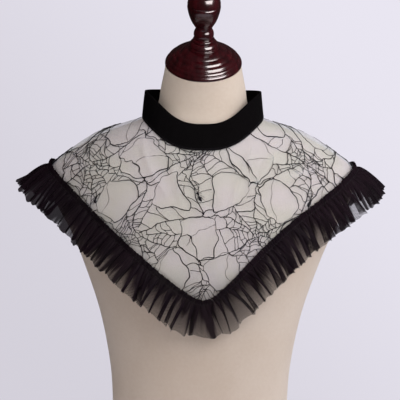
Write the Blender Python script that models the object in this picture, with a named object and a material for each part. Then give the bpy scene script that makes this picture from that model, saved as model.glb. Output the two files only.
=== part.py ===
"""Detachable mesh collar on a limbless dress form.

Lengths are metres, +Z is up and the front faces -Y. The origin is under the
middle of the form's flat base. Left and right are the wearer's: left is +X.
A "turn" is the angle round the body: 0 is the wearer's left side, -90 degrees
the front, 90 degrees the back.
"""

from bisect import bisect_right
from math import asin, cos, exp, pi, radians, sin, sqrt, tan
from typing import NamedTuple

import bmesh
import bpy
from mathutils import Vector


# ---------------------------------------------------------------- dress form

class Section(NamedTuple):
    """One level cut through the form: its half width and its front and back depths."""

    height: float
    half_width: float
    front: float
    back: float
    squareness: float


FORM_SECTIONS = (
    Section(0.000, 0.1580, 0.1040, 0.1080, 2.20),
    Section(0.050, 0.1570, 0.1050, 0.1090, 2.20),
    Section(0.100, 0.1480, 0.1000, 0.0960, 2.20),
    Section(0.150, 0.1290, 0.0930, 0.0740, 2.15),
    Section(0.195, 0.1150, 0.0900, 0.0620, 2.10),
    Section(0.230, 0.1155, 0.0920, 0.0630, 2.10),
    Section(0.280, 0.1190, 0.0980, 0.0720, 2.15),
    Section(0.350, 0.1325, 0.1090, 0.0860, 2.20),
    Section(0.410, 0.1520, 0.1190, 0.0950, 2.20),
    Section(0.457, 0.1715, 0.1180, 0.1000, 2.20),
    Section(0.490, 0.1900, 0.1110, 0.1000, 2.15),
    Section(0.515, 0.1985, 0.1030, 0.0975, 2.10),
    Section(0.533, 0.1990, 0.0965, 0.0940, 2.05),
    Section(0.546, 0.1920, 0.0910, 0.0905, 2.00),
    Section(0.558, 0.1760, 0.0855, 0.0865, 2.00),
    Section(0.572, 0.1530, 0.0785, 0.0810, 2.00),
    Section(0.586, 0.1250, 0.0705, 0.0745, 2.00),
    Section(0.596, 0.0990, 0.0650, 0.0690, 2.00),
    Section(0.604, 0.0775, 0.0615, 0.0630, 2.00),
    Section(0.612, 0.0650, 0.0595, 0.0570, 2.00),
    Section(0.624, 0.0585, 0.0590, 0.0505, 2.00),
    Section(0.645, 0.0550, 0.0608, 0.0430, 2.00),
    Section(0.675, 0.0492, 0.0680, 0.0320, 2.00),
    Section(0.710, 0.0470, 0.0785, 0.0220, 2.00),
)
FORM_SIDES = 48             # points round each ring of the form
FORM_RING_STEP = 0.0190     # longest step along the surface between two rings
BUST_HEIGHT = 0.415
BUST_OFFSET = 0.074         # from the middle of the chest to each side's fullest point
BUST_DEPTH = 0.012
BUST_WIDTH = 0.052
BUST_REACH = 0.055
NECK_CUT_TILT = radians(28) # the neck is cut on a slant, lower at the front
NECK_CUT_HEIGHT = 0.677     # height of the cut on the neck's own middle line
NECK_SLANT_START = 0.600    # below this height the rings are level
SLANT_ROUNDS = 12           # rounds of fitting a ring's height to the slant
FINE_LEVELS = 600           # fine steps up the form when its rings are spaced
HALVINGS = 40               # halvings when a height on the form is searched for
NORMAL_TURN = radians(0.5)  # a normal is read over this turn and height each way
NORMAL_HEIGHT = 0.0005


# ----------------------------------------------------------- turned neck cap

class Turning(NamedTuple):
    """One point of a turned profile: its radius and its height above the base."""

    radius: float
    rise: float


CAP_RINGS = (               # each step of the cap: outer edge and top of one round ring
    Turning(0.0497, 0.0000),
    Turning(0.0472, 0.0048),
    Turning(0.0430, 0.0092),
    Turning(0.0372, 0.0134),
    Turning(0.0300, 0.0176),
)
CAP_RING_THICKNESS = 0.0042
CAP_COLLET = (              # the plain disc and bead in the middle of the cap
    Turning(0.0192, 0.0232),
    Turning(0.0197, 0.0246),
    Turning(0.0180, 0.0258),
    Turning(0.0186, 0.0282),
    Turning(0.0166, 0.0312),
    Turning(0.0136, 0.0330),
)
FINIAL_PROFILE = (          # bead, waist, urn and domed top
    Turning(0.0132, 0.0333),
    Turning(0.0142, 0.0345),
    Turning(0.0136, 0.0360),
    Turning(0.0112, 0.0372),
    Turning(0.0126, 0.0400),
    Turning(0.0130, 0.0430),
    Turning(0.0124, 0.0465),
    Turning(0.0104, 0.0510),
    Turning(0.0118, 0.0545),
    Turning(0.0158, 0.0615),
    Turning(0.0190, 0.0700),
    Turning(0.0210, 0.0785),
    Turning(0.0213, 0.0830),
    Turning(0.0204, 0.0846),
    Turning(0.0212, 0.0862),
    Turning(0.0200, 0.0920),
    Turning(0.0170, 0.0975),
    Turning(0.0112, 0.1010),
    Turning(0.0052, 0.1024),
)
TURNED_SIDES = 32
PIECE_GAP = 0.0003          # what two touching pieces keep between them

# ------------------------------------------------------------------- collar

CLOTH_GAP = 0.0012          # the lace stands this far off the form
LACE_THICKNESS = 0.0010
NECKLINE_HALF_WIDTH = 0.0775
NECKLINE_FRONT = 0.0800
NECKLINE_BACK = 0.0650
NECKLINE_SQUARENESS = 2.5   # of the front half of its plan; the back half is round
NECKLINE_SEARCH = (0.54, 0.63)
HEM_SEARCH = 0.020          # a hem's height is searched for this far past its ends


class Hem(NamedTuple):
    """The yoke's edge on one face of the body, in a level view of that face."""

    point_height: float     # height of the middle point
    shoulder_height: float  # height where it crosses the shoulder
    shoulder_width: float   # half width where it crosses the shoulder
    point_radius: float     # rounding of the middle point
    point_shift: float      # how far the middle point hangs towards +X
    bow_left: float         # bow outwards of the +X half
    bow_right: float        # bow outwards of the -X half


FRONT_HEM = Hem(0.381, 0.549, 0.193, 0.018, 0.0030, -0.011, 0.003)
BACK_HEM = Hem(0.410, 0.549, 0.193, 0.018, 0.0, 0.0, 0.0)
YOKE_ROWS = 9
YOKE_SEAM = 0.0005          # gap between two panels of lace
BACK_OPENING = 0.0012       # the two back halves meet with this gap

BAND_HEIGHT = 0.0345
BAND_THICKNESS = 0.0022
BAND_SEAM = 0.0005          # between the band's lower edge and the lace
BAND_LEAN_SIDE = 0.0035     # how far the top edge leans in
BAND_LEAN_FRONT = 0.0150
BAND_LAP = 0.022            # how far one end passes over the other
BAND_LAP_LIFT = 0.0029      # the upper end lies this far outside the lower one
BAND_LAP_RUN = 0.035        # length over which it moves out
BAND_STEPS = 56
BAND_ROWS = 3
BUTTON_RADIUS = 0.0055
BUTTON_THICKNESS = 0.0026
BUTTON_SIDES = 24
BUTTON_PROFILE = (          # shares of the button's radius and thickness
    Turning(0.86, 0.00),
    Turning(1.00, 0.35),
    Turning(0.94, 0.85),
    Turning(0.74, 1.00),
    Turning(0.60, 0.74),
)


class RuffleRow(NamedTuple):
    """One line along the ruffle: its distance from the inner edge, fold and lift."""

    reach: float
    fold: float
    lift: float


RUFFLE_ROWS = (
    RuffleRow(0.0000, 0.0014, 0.0048),   # edge of the heading
    RuffleRow(0.0080, 0.0006, 0.0022),   # gathering line
    RuffleRow(0.0180, 0.0024, 0.0040),
    RuffleRow(0.0340, 0.0044, 0.0070),
    RuffleRow(0.0520, 0.0060, 0.0095),   # raw outer edge
)
RUFFLE_HEADING = 0.0080     # the ruffle laps this far over the lace
RUFFLE_THICKNESS = 0.0010
RUFFLE_PITCH = 0.0175       # from one pleat to the next along the seam
RUFFLE_COLUMNS = 4          # columns in one pleat
RUFFLE_UNEVEN = 0.25        # how much the pleats differ in depth
RUFFLE_BEAT = 1.7           # how fast that difference comes and goes, per pleat
RUFFLE_FLARE = 0.80         # how far the stiff cloth stands off where the hem lies flat
RUFFLE_DROOP = 6.0          # how fast the free edge turns down, per metre of width
RUFFLE_END_GAP = 0.0005     # each end stops this far from the next strip
RUFFLE_END_RUN = 0.030      # over this length the folds straighten towards that seam
PATH_STEPS = 720            # fine steps round the body when lengths are measured
TANGENT_STEP = 0.003        # the hem's direction is read over this run each way

JERSEY = ("cream_jersey", (0.60, 0.53, 0.45, 1.0), 0.85, 0.0)
WOOD = ("polished_dark_wood", (0.055, 0.008, 0.008, 1.0), 0.22, 0.0)
BAND_CLOTH = ("black_band_cloth", (0.008, 0.008, 0.010, 1.0), 0.80, 0.0)
LACE = ("web_lace", (0.25, 0.24, 0.27, 1.0), 0.75, 0.0)
TULLE = ("black_tulle", (0.015, 0.013, 0.018, 1.0), 0.70, 0.0)
BUTTON_PLASTIC = ("black_button", (0.010, 0.010, 0.012, 1.0), 0.30, 0.0)


# ------------------------------------------------------------ body surface

def smooth_between(xs, ys, x):
    """Cubic curve through the points (xs, ys), read at x."""
    last = len(xs) - 1
    x = min(max(x, xs[0]), xs[last])
    i = 0
    while i < last - 1 and x > xs[i + 1]:
        i += 1

    def slope(k):
        low, high = max(k - 1, 0), min(k + 1, last)
        return (ys[high] - ys[low]) / (xs[high] - xs[low])

    step = xs[i + 1] - xs[i]
    f = (x - xs[i]) / step
    start, end = slope(i) * step, slope(i + 1) * step
    return ((2 * f ** 3 - 3 * f ** 2 + 1) * ys[i] + (f ** 3 - 2 * f ** 2 + f) * start
            + (3 * f ** 2 - 2 * f ** 3) * ys[i + 1] + (f ** 3 - f ** 2) * end)


SECTION_HEIGHTS = [s.height for s in FORM_SECTIONS]
SECTION_COLUMNS = {name: [getattr(s, name) for s in FORM_SECTIONS]
                   for name in ("half_width", "front", "back", "squareness")}


def section(height):
    """The form's half width, middle, half depth and squareness at a height."""
    width, front, back, squareness = (
        smooth_between(SECTION_HEIGHTS, SECTION_COLUMNS[name], height)
        for name in ("half_width", "front", "back", "squareness"))
    return width, (back - front) / 2, (back + front) / 2, squareness


def rounded(value, squareness):
    """The sine or cosine of a superellipse of that squareness."""
    return (1 if value > 0 else -1) * abs(value) ** (2 / squareness)


def form_point(turn, height, bridged=False):
    """A point of the form; bridged gives the cloth that spans the hollow of the bust."""
    width, middle, depth, squareness = section(height)
    x = width * rounded(cos(turn), squareness)
    facing = rounded(sin(turn), squareness)
    y = middle + depth * facing
    if facing < 0:
        off_middle = abs(x) - BUST_OFFSET
        if bridged:
            off_middle = max(off_middle, 0.0)
        fullness = exp(-(off_middle / BUST_WIDTH) ** 2 - ((height - BUST_HEIGHT) / BUST_REACH) ** 2)
        y += BUST_DEPTH * fullness * facing
    return Vector((x, y, height))


def form_normal(turn, height, bridged=False):
    """The direction straight out of the form at a point."""
    right, left = (form_point(turn + step, height, bridged) for step in (-NORMAL_TURN, NORMAL_TURN))
    above, below = (form_point(turn, height + step, bridged) for step in (NORMAL_HEIGHT, -NORMAL_HEIGHT))
    return (left - right).cross(above - below).normalized()


def cloth_point(turn, height, lift):
    """A point of the cloth's own surface, lifted off the form by lift."""
    return form_point(turn, height, True) + form_normal(turn, height, True) * lift


def body_clearance(point):
    """How far outside the form a point lies, level with the ground."""
    width, middle, depth, squareness = section(point.z)
    ratio = ((abs(point.x) / width) ** squareness
             + (abs(point.y - middle) / depth) ** squareness) ** (1 / squareness)
    outward = Vector((point.x, point.y - middle, 0.0))
    if ratio == 0:
        return 0.0, outward
    return outward.length * (1 - 1 / ratio), outward.normalized()


# ------------------------------------------------------------ mesh building

def finish(name, bm, material, sharp=radians(40)):
    """Turn a bmesh into a named object with its faces pointing out."""
    bmesh.ops.remove_doubles(bm, verts=bm.verts, dist=0.00001)
    bmesh.ops.recalc_face_normals(bm, faces=bm.faces)
    mesh = bpy.data.meshes.new(name)
    bm.to_mesh(mesh)
    bm.free()
    mesh.shade_smooth()
    mesh.set_sharp_from_angle(angle=sharp)
    mesh.materials.append(material)
    piece = bpy.data.objects.new(name, mesh)
    bpy.context.collection.objects.link(piece)
    return piece


def grid_normals(grid):
    """The normal at each point of a grid of points."""
    rows, columns = len(grid), len(grid[0])
    normals = []
    for r in range(rows):
        line = []
        for c in range(columns):
            across = grid[r][min(c + 1, columns - 1)] - grid[r][max(c - 1, 0)]
            along = grid[min(r + 1, rows - 1)][c] - grid[max(r - 1, 0)][c]
            line.append(across.cross(along).normalized())
        normals.append(line)
    return normals


def shell(name, inner_grid, outer_grid, material):
    """A closed wall of cloth between two grids of points."""
    rows, columns = len(inner_grid), len(inner_grid[0])
    bm = bmesh.new()
    inner, outer = ([[bm.verts.new(point) for point in line] for line in grid]
                    for grid in (inner_grid, outer_grid))
    for r in range(rows - 1):
        for c in range(columns - 1):
            for face, flip in ((outer, False), (inner, True)):
                corners = [face[r][c], face[r][c + 1], face[r + 1][c + 1], face[r + 1][c]]
                bm.faces.new(corners[::-1] if flip else corners)
    rim = [(0, c) for c in range(columns)] + [(r, columns - 1) for r in range(1, rows)]
    rim += [(rows - 1, c) for c in range(columns - 2, -1, -1)] + [(r, 0) for r in range(rows - 2, 0, -1)]
    for (r0, c0), (r1, c1) in zip(rim, rim[1:] + rim[:1]):
        bm.faces.new([outer[r1][c1], outer[r0][c0], inner[r0][c0], inner[r1][c1]])
    return finish(name, bm, material)


def wall(name, grid, low, high, material):
    """A closed wall of cloth over a grid, from low to high along its normals."""
    normals = grid_normals(grid)
    inner, outer = ([[point + normal * offset for point, normal in zip(line, line_normals)]
                     for line, line_normals in zip(grid, normals)] for offset in (low, high))
    return shell(name, inner, outer, material)


def rings_to_solid(name, rings, material):
    """A closed skin over rings of points, with a flat face at each end."""
    bm = bmesh.new()
    loops = [[bm.verts.new(p) for p in ring] for ring in rings]
    for low, high in zip(loops, loops[1:]):
        for i in range(len(low)):
            j = (i + 1) % len(low)
            bm.faces.new([low[i], low[j], high[j], high[i]])
    bm.faces.new(loops[0][::-1])
    bm.faces.new(loops[-1])
    return finish(name, bm, material)


def principled(finish_values):
    """A Principled material from a name, a colour, a roughness and a metallic value."""
    name, colour, roughness, metallic = finish_values
    material = bpy.data.materials.new(name)
    material.use_nodes = True
    shader = material.node_tree.nodes["Principled BSDF"]
    shader.inputs["Base Color"].default_value = colour
    shader.inputs["Roughness"].default_value = roughness
    shader.inputs["Metallic"].default_value = metallic
    return material


# --------------------------------------------------------------- dress form

def slanted_height(turn, level):
    """Height on a ring that is level low down and lies in the neck's slanted cut at the top."""
    share = (level - NECK_SLANT_START) / (NECK_CUT_HEIGHT - NECK_SLANT_START)
    slope = tan(NECK_CUT_TILT) * min(max(share, 0.0), 1.0)
    middle = section(level)[1]
    height = level
    for _ in range(SLANT_ROUNDS):
        height = level + slope * (form_point(turn, height).y - middle)
    return height


def ring_levels():
    """Heights of the form's rings, closer together where the surface turns in."""
    fine = [NECK_CUT_HEIGHT * i / FINE_LEVELS for i in range(FINE_LEVELS + 1)]
    levels, run = [fine[0]], 0.0
    for low, high in zip(fine, fine[1:]):
        run += max((form_point(turn, high) - form_point(turn, low)).length
                   for turn in (0.0, -pi / 2, pi / 2))
        if run >= FORM_RING_STEP:
            levels.append(high)
            run = 0.0
    if fine[-1] - levels[-1] < FORM_RING_STEP / 2:
        levels.pop()
    return levels + [fine[-1]]


def build_form():
    turns = [2 * pi * i / FORM_SIDES for i in range(FORM_SIDES)]
    rings = [[form_point(turn, slanted_height(turn, level)) for turn in turns] for level in ring_levels()]
    return rings_to_solid("dress_form", rings, principled(JERSEY))


def place_on_neck(piece):
    """Stand a turned piece on the slanted neck cut."""
    middle = section(NECK_CUT_HEIGHT)[1]
    up = Vector((0.0, -sin(NECK_CUT_TILT), cos(NECK_CUT_TILT)))
    piece.location = Vector((0.0, middle, NECK_CUT_HEIGHT)) + up * PIECE_GAP
    piece.rotation_euler = (NECK_CUT_TILT, 0.0, 0.0)


def turned(name, profile, sides, material):
    """A turned piece about its own Z axis from its profile, flat at both ends."""
    angles = [2 * pi * i / sides for i in range(sides)]
    rings = [[Vector((p.radius * cos(angle), p.radius * sin(angle), p.rise)) for angle in angles]
             for p in profile]
    return rings_to_solid(name, rings, material)


def cap_profile():
    """The stepped rings of the cap, each a half-round edge, then its middle disc and bead."""
    profile = []
    for ring in CAP_RINGS:
        half = CAP_RING_THICKNESS / 2
        profile += [Turning(ring.radius - half * 0.5, ring.rise),
                    Turning(ring.radius, ring.rise + half),
                    Turning(ring.radius - half * 0.5, ring.rise + 2 * half)]
    return profile + list(CAP_COLLET)


def build_cap():
    wood = principled(WOOD)
    place_on_neck(turned("neck_cap", cap_profile(), TURNED_SIDES, wood))
    place_on_neck(turned("cap_finial", FINIAL_PROFILE, TURNED_SIDES, wood))


# -------------------------------------------------------------------- yoke

def neckline(turn, outset=0.0):
    """Height where the form's surface meets the neckline's plan, or one drawn larger."""
    half_width, depth, squareness = NECKLINE_HALF_WIDTH + outset, NECKLINE_BACK + outset, 2.0
    if sin(turn) < 0:
        depth, squareness = NECKLINE_FRONT + outset, NECKLINE_SQUARENESS
    low, high = NECKLINE_SEARCH
    for _ in range(HALVINGS):
        height = (low + high) / 2
        point = form_point(turn, height, True)
        if abs(point.x / half_width) ** squareness + abs(point.y / depth) ** squareness > 1:
            low = height
        else:
            high = height
    return (low + high) / 2


def hem_line(hem, x):
    """Height of the hem in a level view, at a distance x from the middle."""
    share = min(abs(x) / hem.shoulder_width, 1.05)
    off_point = x / hem.shoulder_width - hem.point_shift / hem.shoulder_width * (1 - share)
    rise = hem.shoulder_height - hem.point_height
    round_share = hem.point_radius / hem.shoulder_width
    line = sqrt(off_point ** 2 + round_share ** 2) - round_share
    bow = hem.bow_left if x > 0 else hem.bow_right
    return hem.point_height + rise * line - bow * sin(pi * min(share, 1.0)) ** 2


def hem_height(turn):
    """Height of the hem at a turn, where the form's surface meets the hem's line."""
    hem = FRONT_HEM if sin(turn) < 0 else BACK_HEM
    low, high = hem.point_height - HEM_SEARCH, hem.shoulder_height + HEM_SEARCH
    for _ in range(HALVINGS):
        middle = (low + high) / 2
        if middle < hem_line(hem, form_point(turn, middle, True).x):
            low = middle
        else:
            high = middle
    return (low + high) / 2


def yoke_grid(first, last, columns, first_gap, last_gap):
    """Points of a lace panel between two turns; each end keeps clear of its seam."""
    grid = []
    for row in range(YOKE_ROWS + 1):
        line = []
        for column in range(columns + 1):
            turn = first + (last - first) * column / columns
            height = neckline(turn) + (hem_height(turn) - neckline(turn)) * row / YOKE_ROWS
            width, _, depth, _ = section(height)
            if column == 0:
                turn += asin(first_gap / 2 / (depth if abs(cos(first)) > 0.5 else width))
            if column == columns:
                turn -= asin(last_gap / 2 / (depth if abs(cos(last)) > 0.5 else width))
            line.append(form_point(turn, height, True))
        grid.append(line)
    return grid[::-1]


def build_yoke():
    lace = principled(LACE)
    half = FORM_SIDES // 2
    panels = (
        ("yoke_front", -pi, 0.0, half, YOKE_SEAM, YOKE_SEAM),
        ("yoke_back_left", 0.0, pi / 2, half // 2, YOKE_SEAM, BACK_OPENING),
        ("yoke_back_right", pi / 2, pi, half // 2, BACK_OPENING, YOKE_SEAM),
    )
    for name, first, last, columns, first_gap, last_gap in panels:
        grid = yoke_grid(first, last, columns, first_gap, last_gap)
        wall(name, grid, CLOTH_GAP, CLOTH_GAP + LACE_THICKNESS, lace)


# -------------------------------------------------------------------- band

def band_point(turn, share, outset, side=0.0):
    """A point of the band from its foot on the lace (share 0) to its top edge (share 1).

    outset moves the band's middle outwards; side is -1 on its inner face and 1 on its outer.
    """
    lift = CLOTH_GAP + LACE_THICKNESS + BAND_SEAM
    half = side * BAND_THICKNESS / 2
    foot = cloth_point(turn, neckline(turn, outset + half), lift)
    middle_foot = cloth_point(turn, neckline(turn, outset), lift)
    outward = Vector((middle_foot.x, middle_foot.y, 0.0)).normalized()
    front = max(-sin(turn), 0.0) ** 2
    lean = BAND_LEAN_SIDE + (BAND_LEAN_FRONT - BAND_LEAN_SIDE) * front
    rise = sqrt(BAND_HEIGHT ** 2 - lean ** 2)
    top = middle_foot + outward * (half - lean) + Vector((0.0, 0.0, rise))
    return foot.lerp(top, share)


def build_band():
    lap = BAND_LAP / NECKLINE_HALF_WIDTH
    run = BAND_LAP_RUN / NECKLINE_HALF_WIDTH
    first, last = pi / 2 - lap / 2 - 2 * pi, pi / 2 + lap / 2
    faces = {-1: [], 1: []}
    for side, grid in faces.items():
        for row in range(BAND_ROWS):
            line = []
            for step in range(BAND_STEPS + 1):
                turn = first + (last - first) * step / BAND_STEPS
                share = min(max((turn - (last - lap - run)) / run, 0.0), 1.0)
                outset = BAND_LAP_LIFT * share * share * (3 - 2 * share)
                line.append(band_point(turn, row / (BAND_ROWS - 1), outset, side))
            grid.append(line)
    shell("neck_band", faces[-1], faces[1], principled(BAND_CLOTH))


def build_button():
    """A small round button on the band's upper end, at the middle of its height."""
    centre = band_point(pi / 2, 0.5, BAND_LAP_LIFT)
    above = band_point(pi / 2, 1.0, BAND_LAP_LIFT) - band_point(pi / 2, 0.0, BAND_LAP_LIFT)
    across = Vector((1.0, 0.0, 0.0))
    out = above.cross(across).normalized()
    if out.y < 0:
        out.negate()
    profile = [Turning(BUTTON_RADIUS * p.radius, BUTTON_THICKNESS * p.rise) for p in BUTTON_PROFILE]
    button = turned("band_button", profile, BUTTON_SIDES, principled(BUTTON_PLASTIC))
    button.location = centre + out * (BAND_THICKNESS / 2 + 2 * PIECE_GAP)
    button.rotation_euler = out.to_track_quat("Z", "Y").to_euler()


# ------------------------------------------------------------------ ruffle

def hem_path():
    """The hem all the way round the body: turns, points and run lengths."""
    turns = [-pi + 2 * pi * i / PATH_STEPS for i in range(PATH_STEPS + 1)]
    points = [cloth_point(turn, hem_height(turn), CLOTH_GAP + LACE_THICKNESS) for turn in turns]
    runs = [0.0]
    for a, b in zip(points, points[1:]):
        runs.append(runs[-1] + (b - a).length)
    return turns, points, runs


def at_run(runs, values, run):
    """Read values along the closed path at a run length."""
    run %= runs[-1]
    i = bisect_right(runs, run) - 1
    share = (run - runs[i]) / (runs[i + 1] - runs[i])
    return values[i] + (values[i + 1] - values[i]) * share


def ruffle_point(foot, along, normal, row, wave):
    """A point of the ruffle: out from the hem, held off by its stiffness, then drooping."""
    outward = along.cross(normal).normalized()
    if outward.z > 0:
        outward.negate()
    down = Vector((0.0, 0.0, -1.0))
    flare = RUFFLE_FLARE * max(normal.z, 0.0)
    droop = RUFFLE_DROOP * row.reach
    heading = (outward + normal * flare + down * droop).normalized()
    shift = heading * row.reach - outward * RUFFLE_HEADING + normal * (row.lift + row.fold * wave)
    clearance, level = body_clearance(foot + shift)
    least = CLOTH_GAP + LACE_THICKNESS + row.lift + row.fold * wave
    if clearance < least:
        shift += level * (least - clearance)
    return foot + shift


def ruffle_grid(path, first, last):
    """Rows of points of one gathered strip between two turns; its two ends lie flat."""
    turns, points, runs = path
    start, end = (runs[round((turn + pi) / (2 * pi) * PATH_STEPS)] for turn in (first, last))
    start, end = start + RUFFLE_END_GAP, end - RUFFLE_END_GAP
    pleats = round((end - start) / RUFFLE_PITCH)
    columns = pleats * RUFFLE_COLUMNS + 2
    grid = [[] for _ in RUFFLE_ROWS]
    for column in range(columns + 1):
        run = start + (end - start) * column / columns
        turn = at_run(runs, turns, run)
        foot = at_run(runs, points, run)
        along = at_run(runs, points, run + TANGENT_STEP) - at_run(runs, points, run - TANGENT_STEP)
        normal = form_normal(turn, hem_height(turn), True)
        folded = min(max(column - 1, 0), columns - 2) / RUFFLE_COLUMNS
        wave = cos(2 * pi * folded) * (1 + RUFFLE_UNEVEN * sin(RUFFLE_BEAT * folded + first))
        for line, row in zip(grid, RUFFLE_ROWS):
            point = ruffle_point(foot, along.normalized(), normal, row, wave)
            for end_turn, end_run in ((first, start), (last, end)):
                straight = max(1 - abs(run - end_run) / RUFFLE_END_RUN, 0.0) ** 2
                axis = 1 if abs(cos(end_turn)) > 0.5 else 0
                point[axis] += (foot[axis] - point[axis]) * straight
            line.append(point)
    return grid[::-1]


def build_ruffle():
    tulle = principled(TULLE)
    strips = (
        ("ruffle_front", -pi, 0.0),
        ("ruffle_back_left", 0.0, pi / 2),
        ("ruffle_back_right", pi / 2, pi),
    )
    path = hem_path()
    for name, first, last in strips:
        grid = ruffle_grid(path, first, last)
        wall(name, grid, -RUFFLE_THICKNESS / 2, RUFFLE_THICKNESS / 2, tulle)


def main():
    for piece in list(bpy.data.objects):
        bpy.data.objects.remove(piece, do_unlink=True)
    build_form()
    build_cap()
    build_yoke()
    build_band()
    build_button()
    build_ruffle()


main()
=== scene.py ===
"""Looks of a detachable mesh collar that stands on a limbless dress form.

Lengths are metres, +Z is up and the front faces -Y. Left and right are the
wearer's: left is +X. A "turn" is the angle round the body: 0 is the wearer's
left side, -90 degrees the front and 90 degrees the back. A "run" is a length
along the hem, which starts at the right shoulder and goes round by the front.
Every surface is a grid of points held in an array (rows, columns, 3).
"""

import logging
from dataclasses import dataclass, field
from enum import Enum
from math import cos, pi, radians, sin, sqrt, tan
from typing import Callable

import bmesh
import bpy
import numpy as np
from mathutils import Matrix, Vector


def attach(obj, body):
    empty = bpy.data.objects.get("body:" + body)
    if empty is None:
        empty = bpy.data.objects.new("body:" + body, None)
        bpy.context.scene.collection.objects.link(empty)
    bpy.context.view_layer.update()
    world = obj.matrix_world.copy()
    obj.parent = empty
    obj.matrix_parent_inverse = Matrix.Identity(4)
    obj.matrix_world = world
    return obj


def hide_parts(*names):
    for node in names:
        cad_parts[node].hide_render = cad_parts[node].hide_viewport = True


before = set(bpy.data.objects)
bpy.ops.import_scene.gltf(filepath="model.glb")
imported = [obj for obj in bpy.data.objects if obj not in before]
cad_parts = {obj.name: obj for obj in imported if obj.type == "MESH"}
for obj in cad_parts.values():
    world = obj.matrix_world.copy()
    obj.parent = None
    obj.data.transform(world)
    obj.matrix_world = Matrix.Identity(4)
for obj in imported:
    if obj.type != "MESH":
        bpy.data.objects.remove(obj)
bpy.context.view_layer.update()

TAU = 2 * pi
UV_NAME = "flat"
LOG = logging.getLogger("collar")

Array = np.ndarray
Colour = tuple  # red, green and blue
Material = bpy.types.Material
Mesh = bpy.types.Mesh
Pair = tuple  # two numbers
Piece = bpy.types.Object
Random = np.random.Generator


# --- node building

class Field:
    """A number or a vector in a node tree. Sums and products of fields add Math nodes."""

    def __init__(self, graph: "Graph", socket: bpy.types.NodeSocket) -> None:
        """Keep the socket that gives the value, and the tree that it is in."""
        self.graph = graph
        self.socket = socket

    def is_vector(self) -> bool:
        """True if the field holds three numbers."""
        return self.socket.type == "VECTOR"

    def join(self, operation: str, other: "Field | float", swap: bool = False) -> "Field":
        """Combine this field with another one or with a plain number.

        Args:
            operation: the Math operation's name.
            other: the second field or number.
            swap: True to put the other one first.

        Returns:
            The combined field, a vector if either of the two is one.
        """
        pair = [other, self] if swap else [self, other]
        vectors = [isinstance(value, Field) and value.is_vector() for value in pair]
        if operation == "MULTIPLY" and vectors.count(True) == 1:
            arrow, number = pair if vectors[0] else pair[::-1]
            node = self.graph.node("ShaderNodeVectorMath", [arrow], operation="SCALE")
            self.graph.feed(node.inputs["Scale"], number)
            return Field(self.graph, node.outputs[0])
        kind = "ShaderNodeVectorMath" if any(vectors) else "ShaderNodeMath"
        return Field(self.graph, self.graph.node(kind, pair, operation=operation).outputs[0])

    def __add__(self, other: "Field | float") -> "Field":
        """Sum."""
        return self.join("ADD", other)

    __radd__ = __add__

    def __sub__(self, other: "Field | float") -> "Field":
        """Difference."""
        return self.join("SUBTRACT", other)

    def __rsub__(self, other: "Field | float") -> "Field":
        """Difference, with this field taken away."""
        return self.join("SUBTRACT", other, swap=True)

    def __mul__(self, other: "Field | float") -> "Field":
        """Product."""
        return self.join("MULTIPLY", other)

    __rmul__ = __mul__


class Graph:
    """A node tree under construction."""

    def __init__(self, tree: bpy.types.NodeTree) -> None:
        """Keep the tree that the nodes are added to."""
        self.tree = tree

    def feed(self, socket: bpy.types.NodeSocket, value: object) -> None:
        """Link a field to an input socket, or set the socket's own value."""
        if isinstance(value, Field):
            self.tree.links.new(value.socket, socket)
        elif value is not None:
            socket.default_value = value

    def node(self, kind: str, values: "list | dict" = (), **settings: object) -> bpy.types.Node:
        """Add a node.

        Args:
            kind: the node's type name.
            values: what its inputs take, in order or by the sockets' names.
            settings: the node's own properties.

        Returns:
            The new node.
        """
        node = self.tree.nodes.new(kind)
        for name, value in settings.items():
            setattr(node, name, value)
        pairs = values.items() if isinstance(values, dict) else enumerate(values)
        for key, value in pairs:
            self.feed(node.inputs[key], value)
        return node

    def out(self, node: bpy.types.Node, name: "str | int" = 0) -> Field:
        """One output of a node as a field."""
        return Field(self, node.outputs[name])

    def math(self, operation: str, *values: "Field | float") -> Field:
        """A Math node of that operation."""
        return self.out(self.node("ShaderNodeMath", list(values), operation=operation))

    def vector(self, x: "Field | float", y: "Field | float", z: "Field | float" = 0.0) -> Field:
        """A vector from its three parts."""
        return self.out(self.node("ShaderNodeCombineXYZ", [x, y, z]))

    def parts(self, arrow: Field) -> "list[Field]":
        """The three parts of a vector."""
        node = self.node("ShaderNodeSeparateXYZ", [arrow])
        return [self.out(node, i) for i in range(3)]

    def noise(self, place: Field, scale: "float | Field", detail: float = 2.0,
              roughness: float = 0.5) -> Field:
        """Soft noise from 0 to 1 at a place, with scale features to the metre."""
        values = {"Vector": place, "Scale": scale, "Detail": detail, "Roughness": roughness}
        return self.out(self.node("ShaderNodeTexNoise", values), "Fac")

    def between(self, value: Field, low: float, high: float, start: float = 0.0, end: float = 1.0) -> Field:
        """Carry a value smoothly from start, where it is low, to end, where it is high."""
        values = {"Value": value, "From Min": low, "From Max": high, "To Min": start, "To Max": end}
        return self.out(self.node("ShaderNodeMapRange", values, interpolation_type="SMOOTHSTEP"))

    def blend(self, share: Field, first: "Colour | Field", second: "Colour | Field") -> Field:
        """Mix two colours."""
        node = self.node("ShaderNodeMix", data_type="RGBA")
        for key, value in (("Factor_Float", share), ("A_Color", first), ("B_Color", second)):
            socket = next(s for s in node.inputs if s.identifier == key)
            self.feed(socket, (*value, 1.0) if isinstance(value, tuple) else value)
        return Field(self, next(s for s in node.outputs if s.identifier == "Result_Color"))


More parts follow.
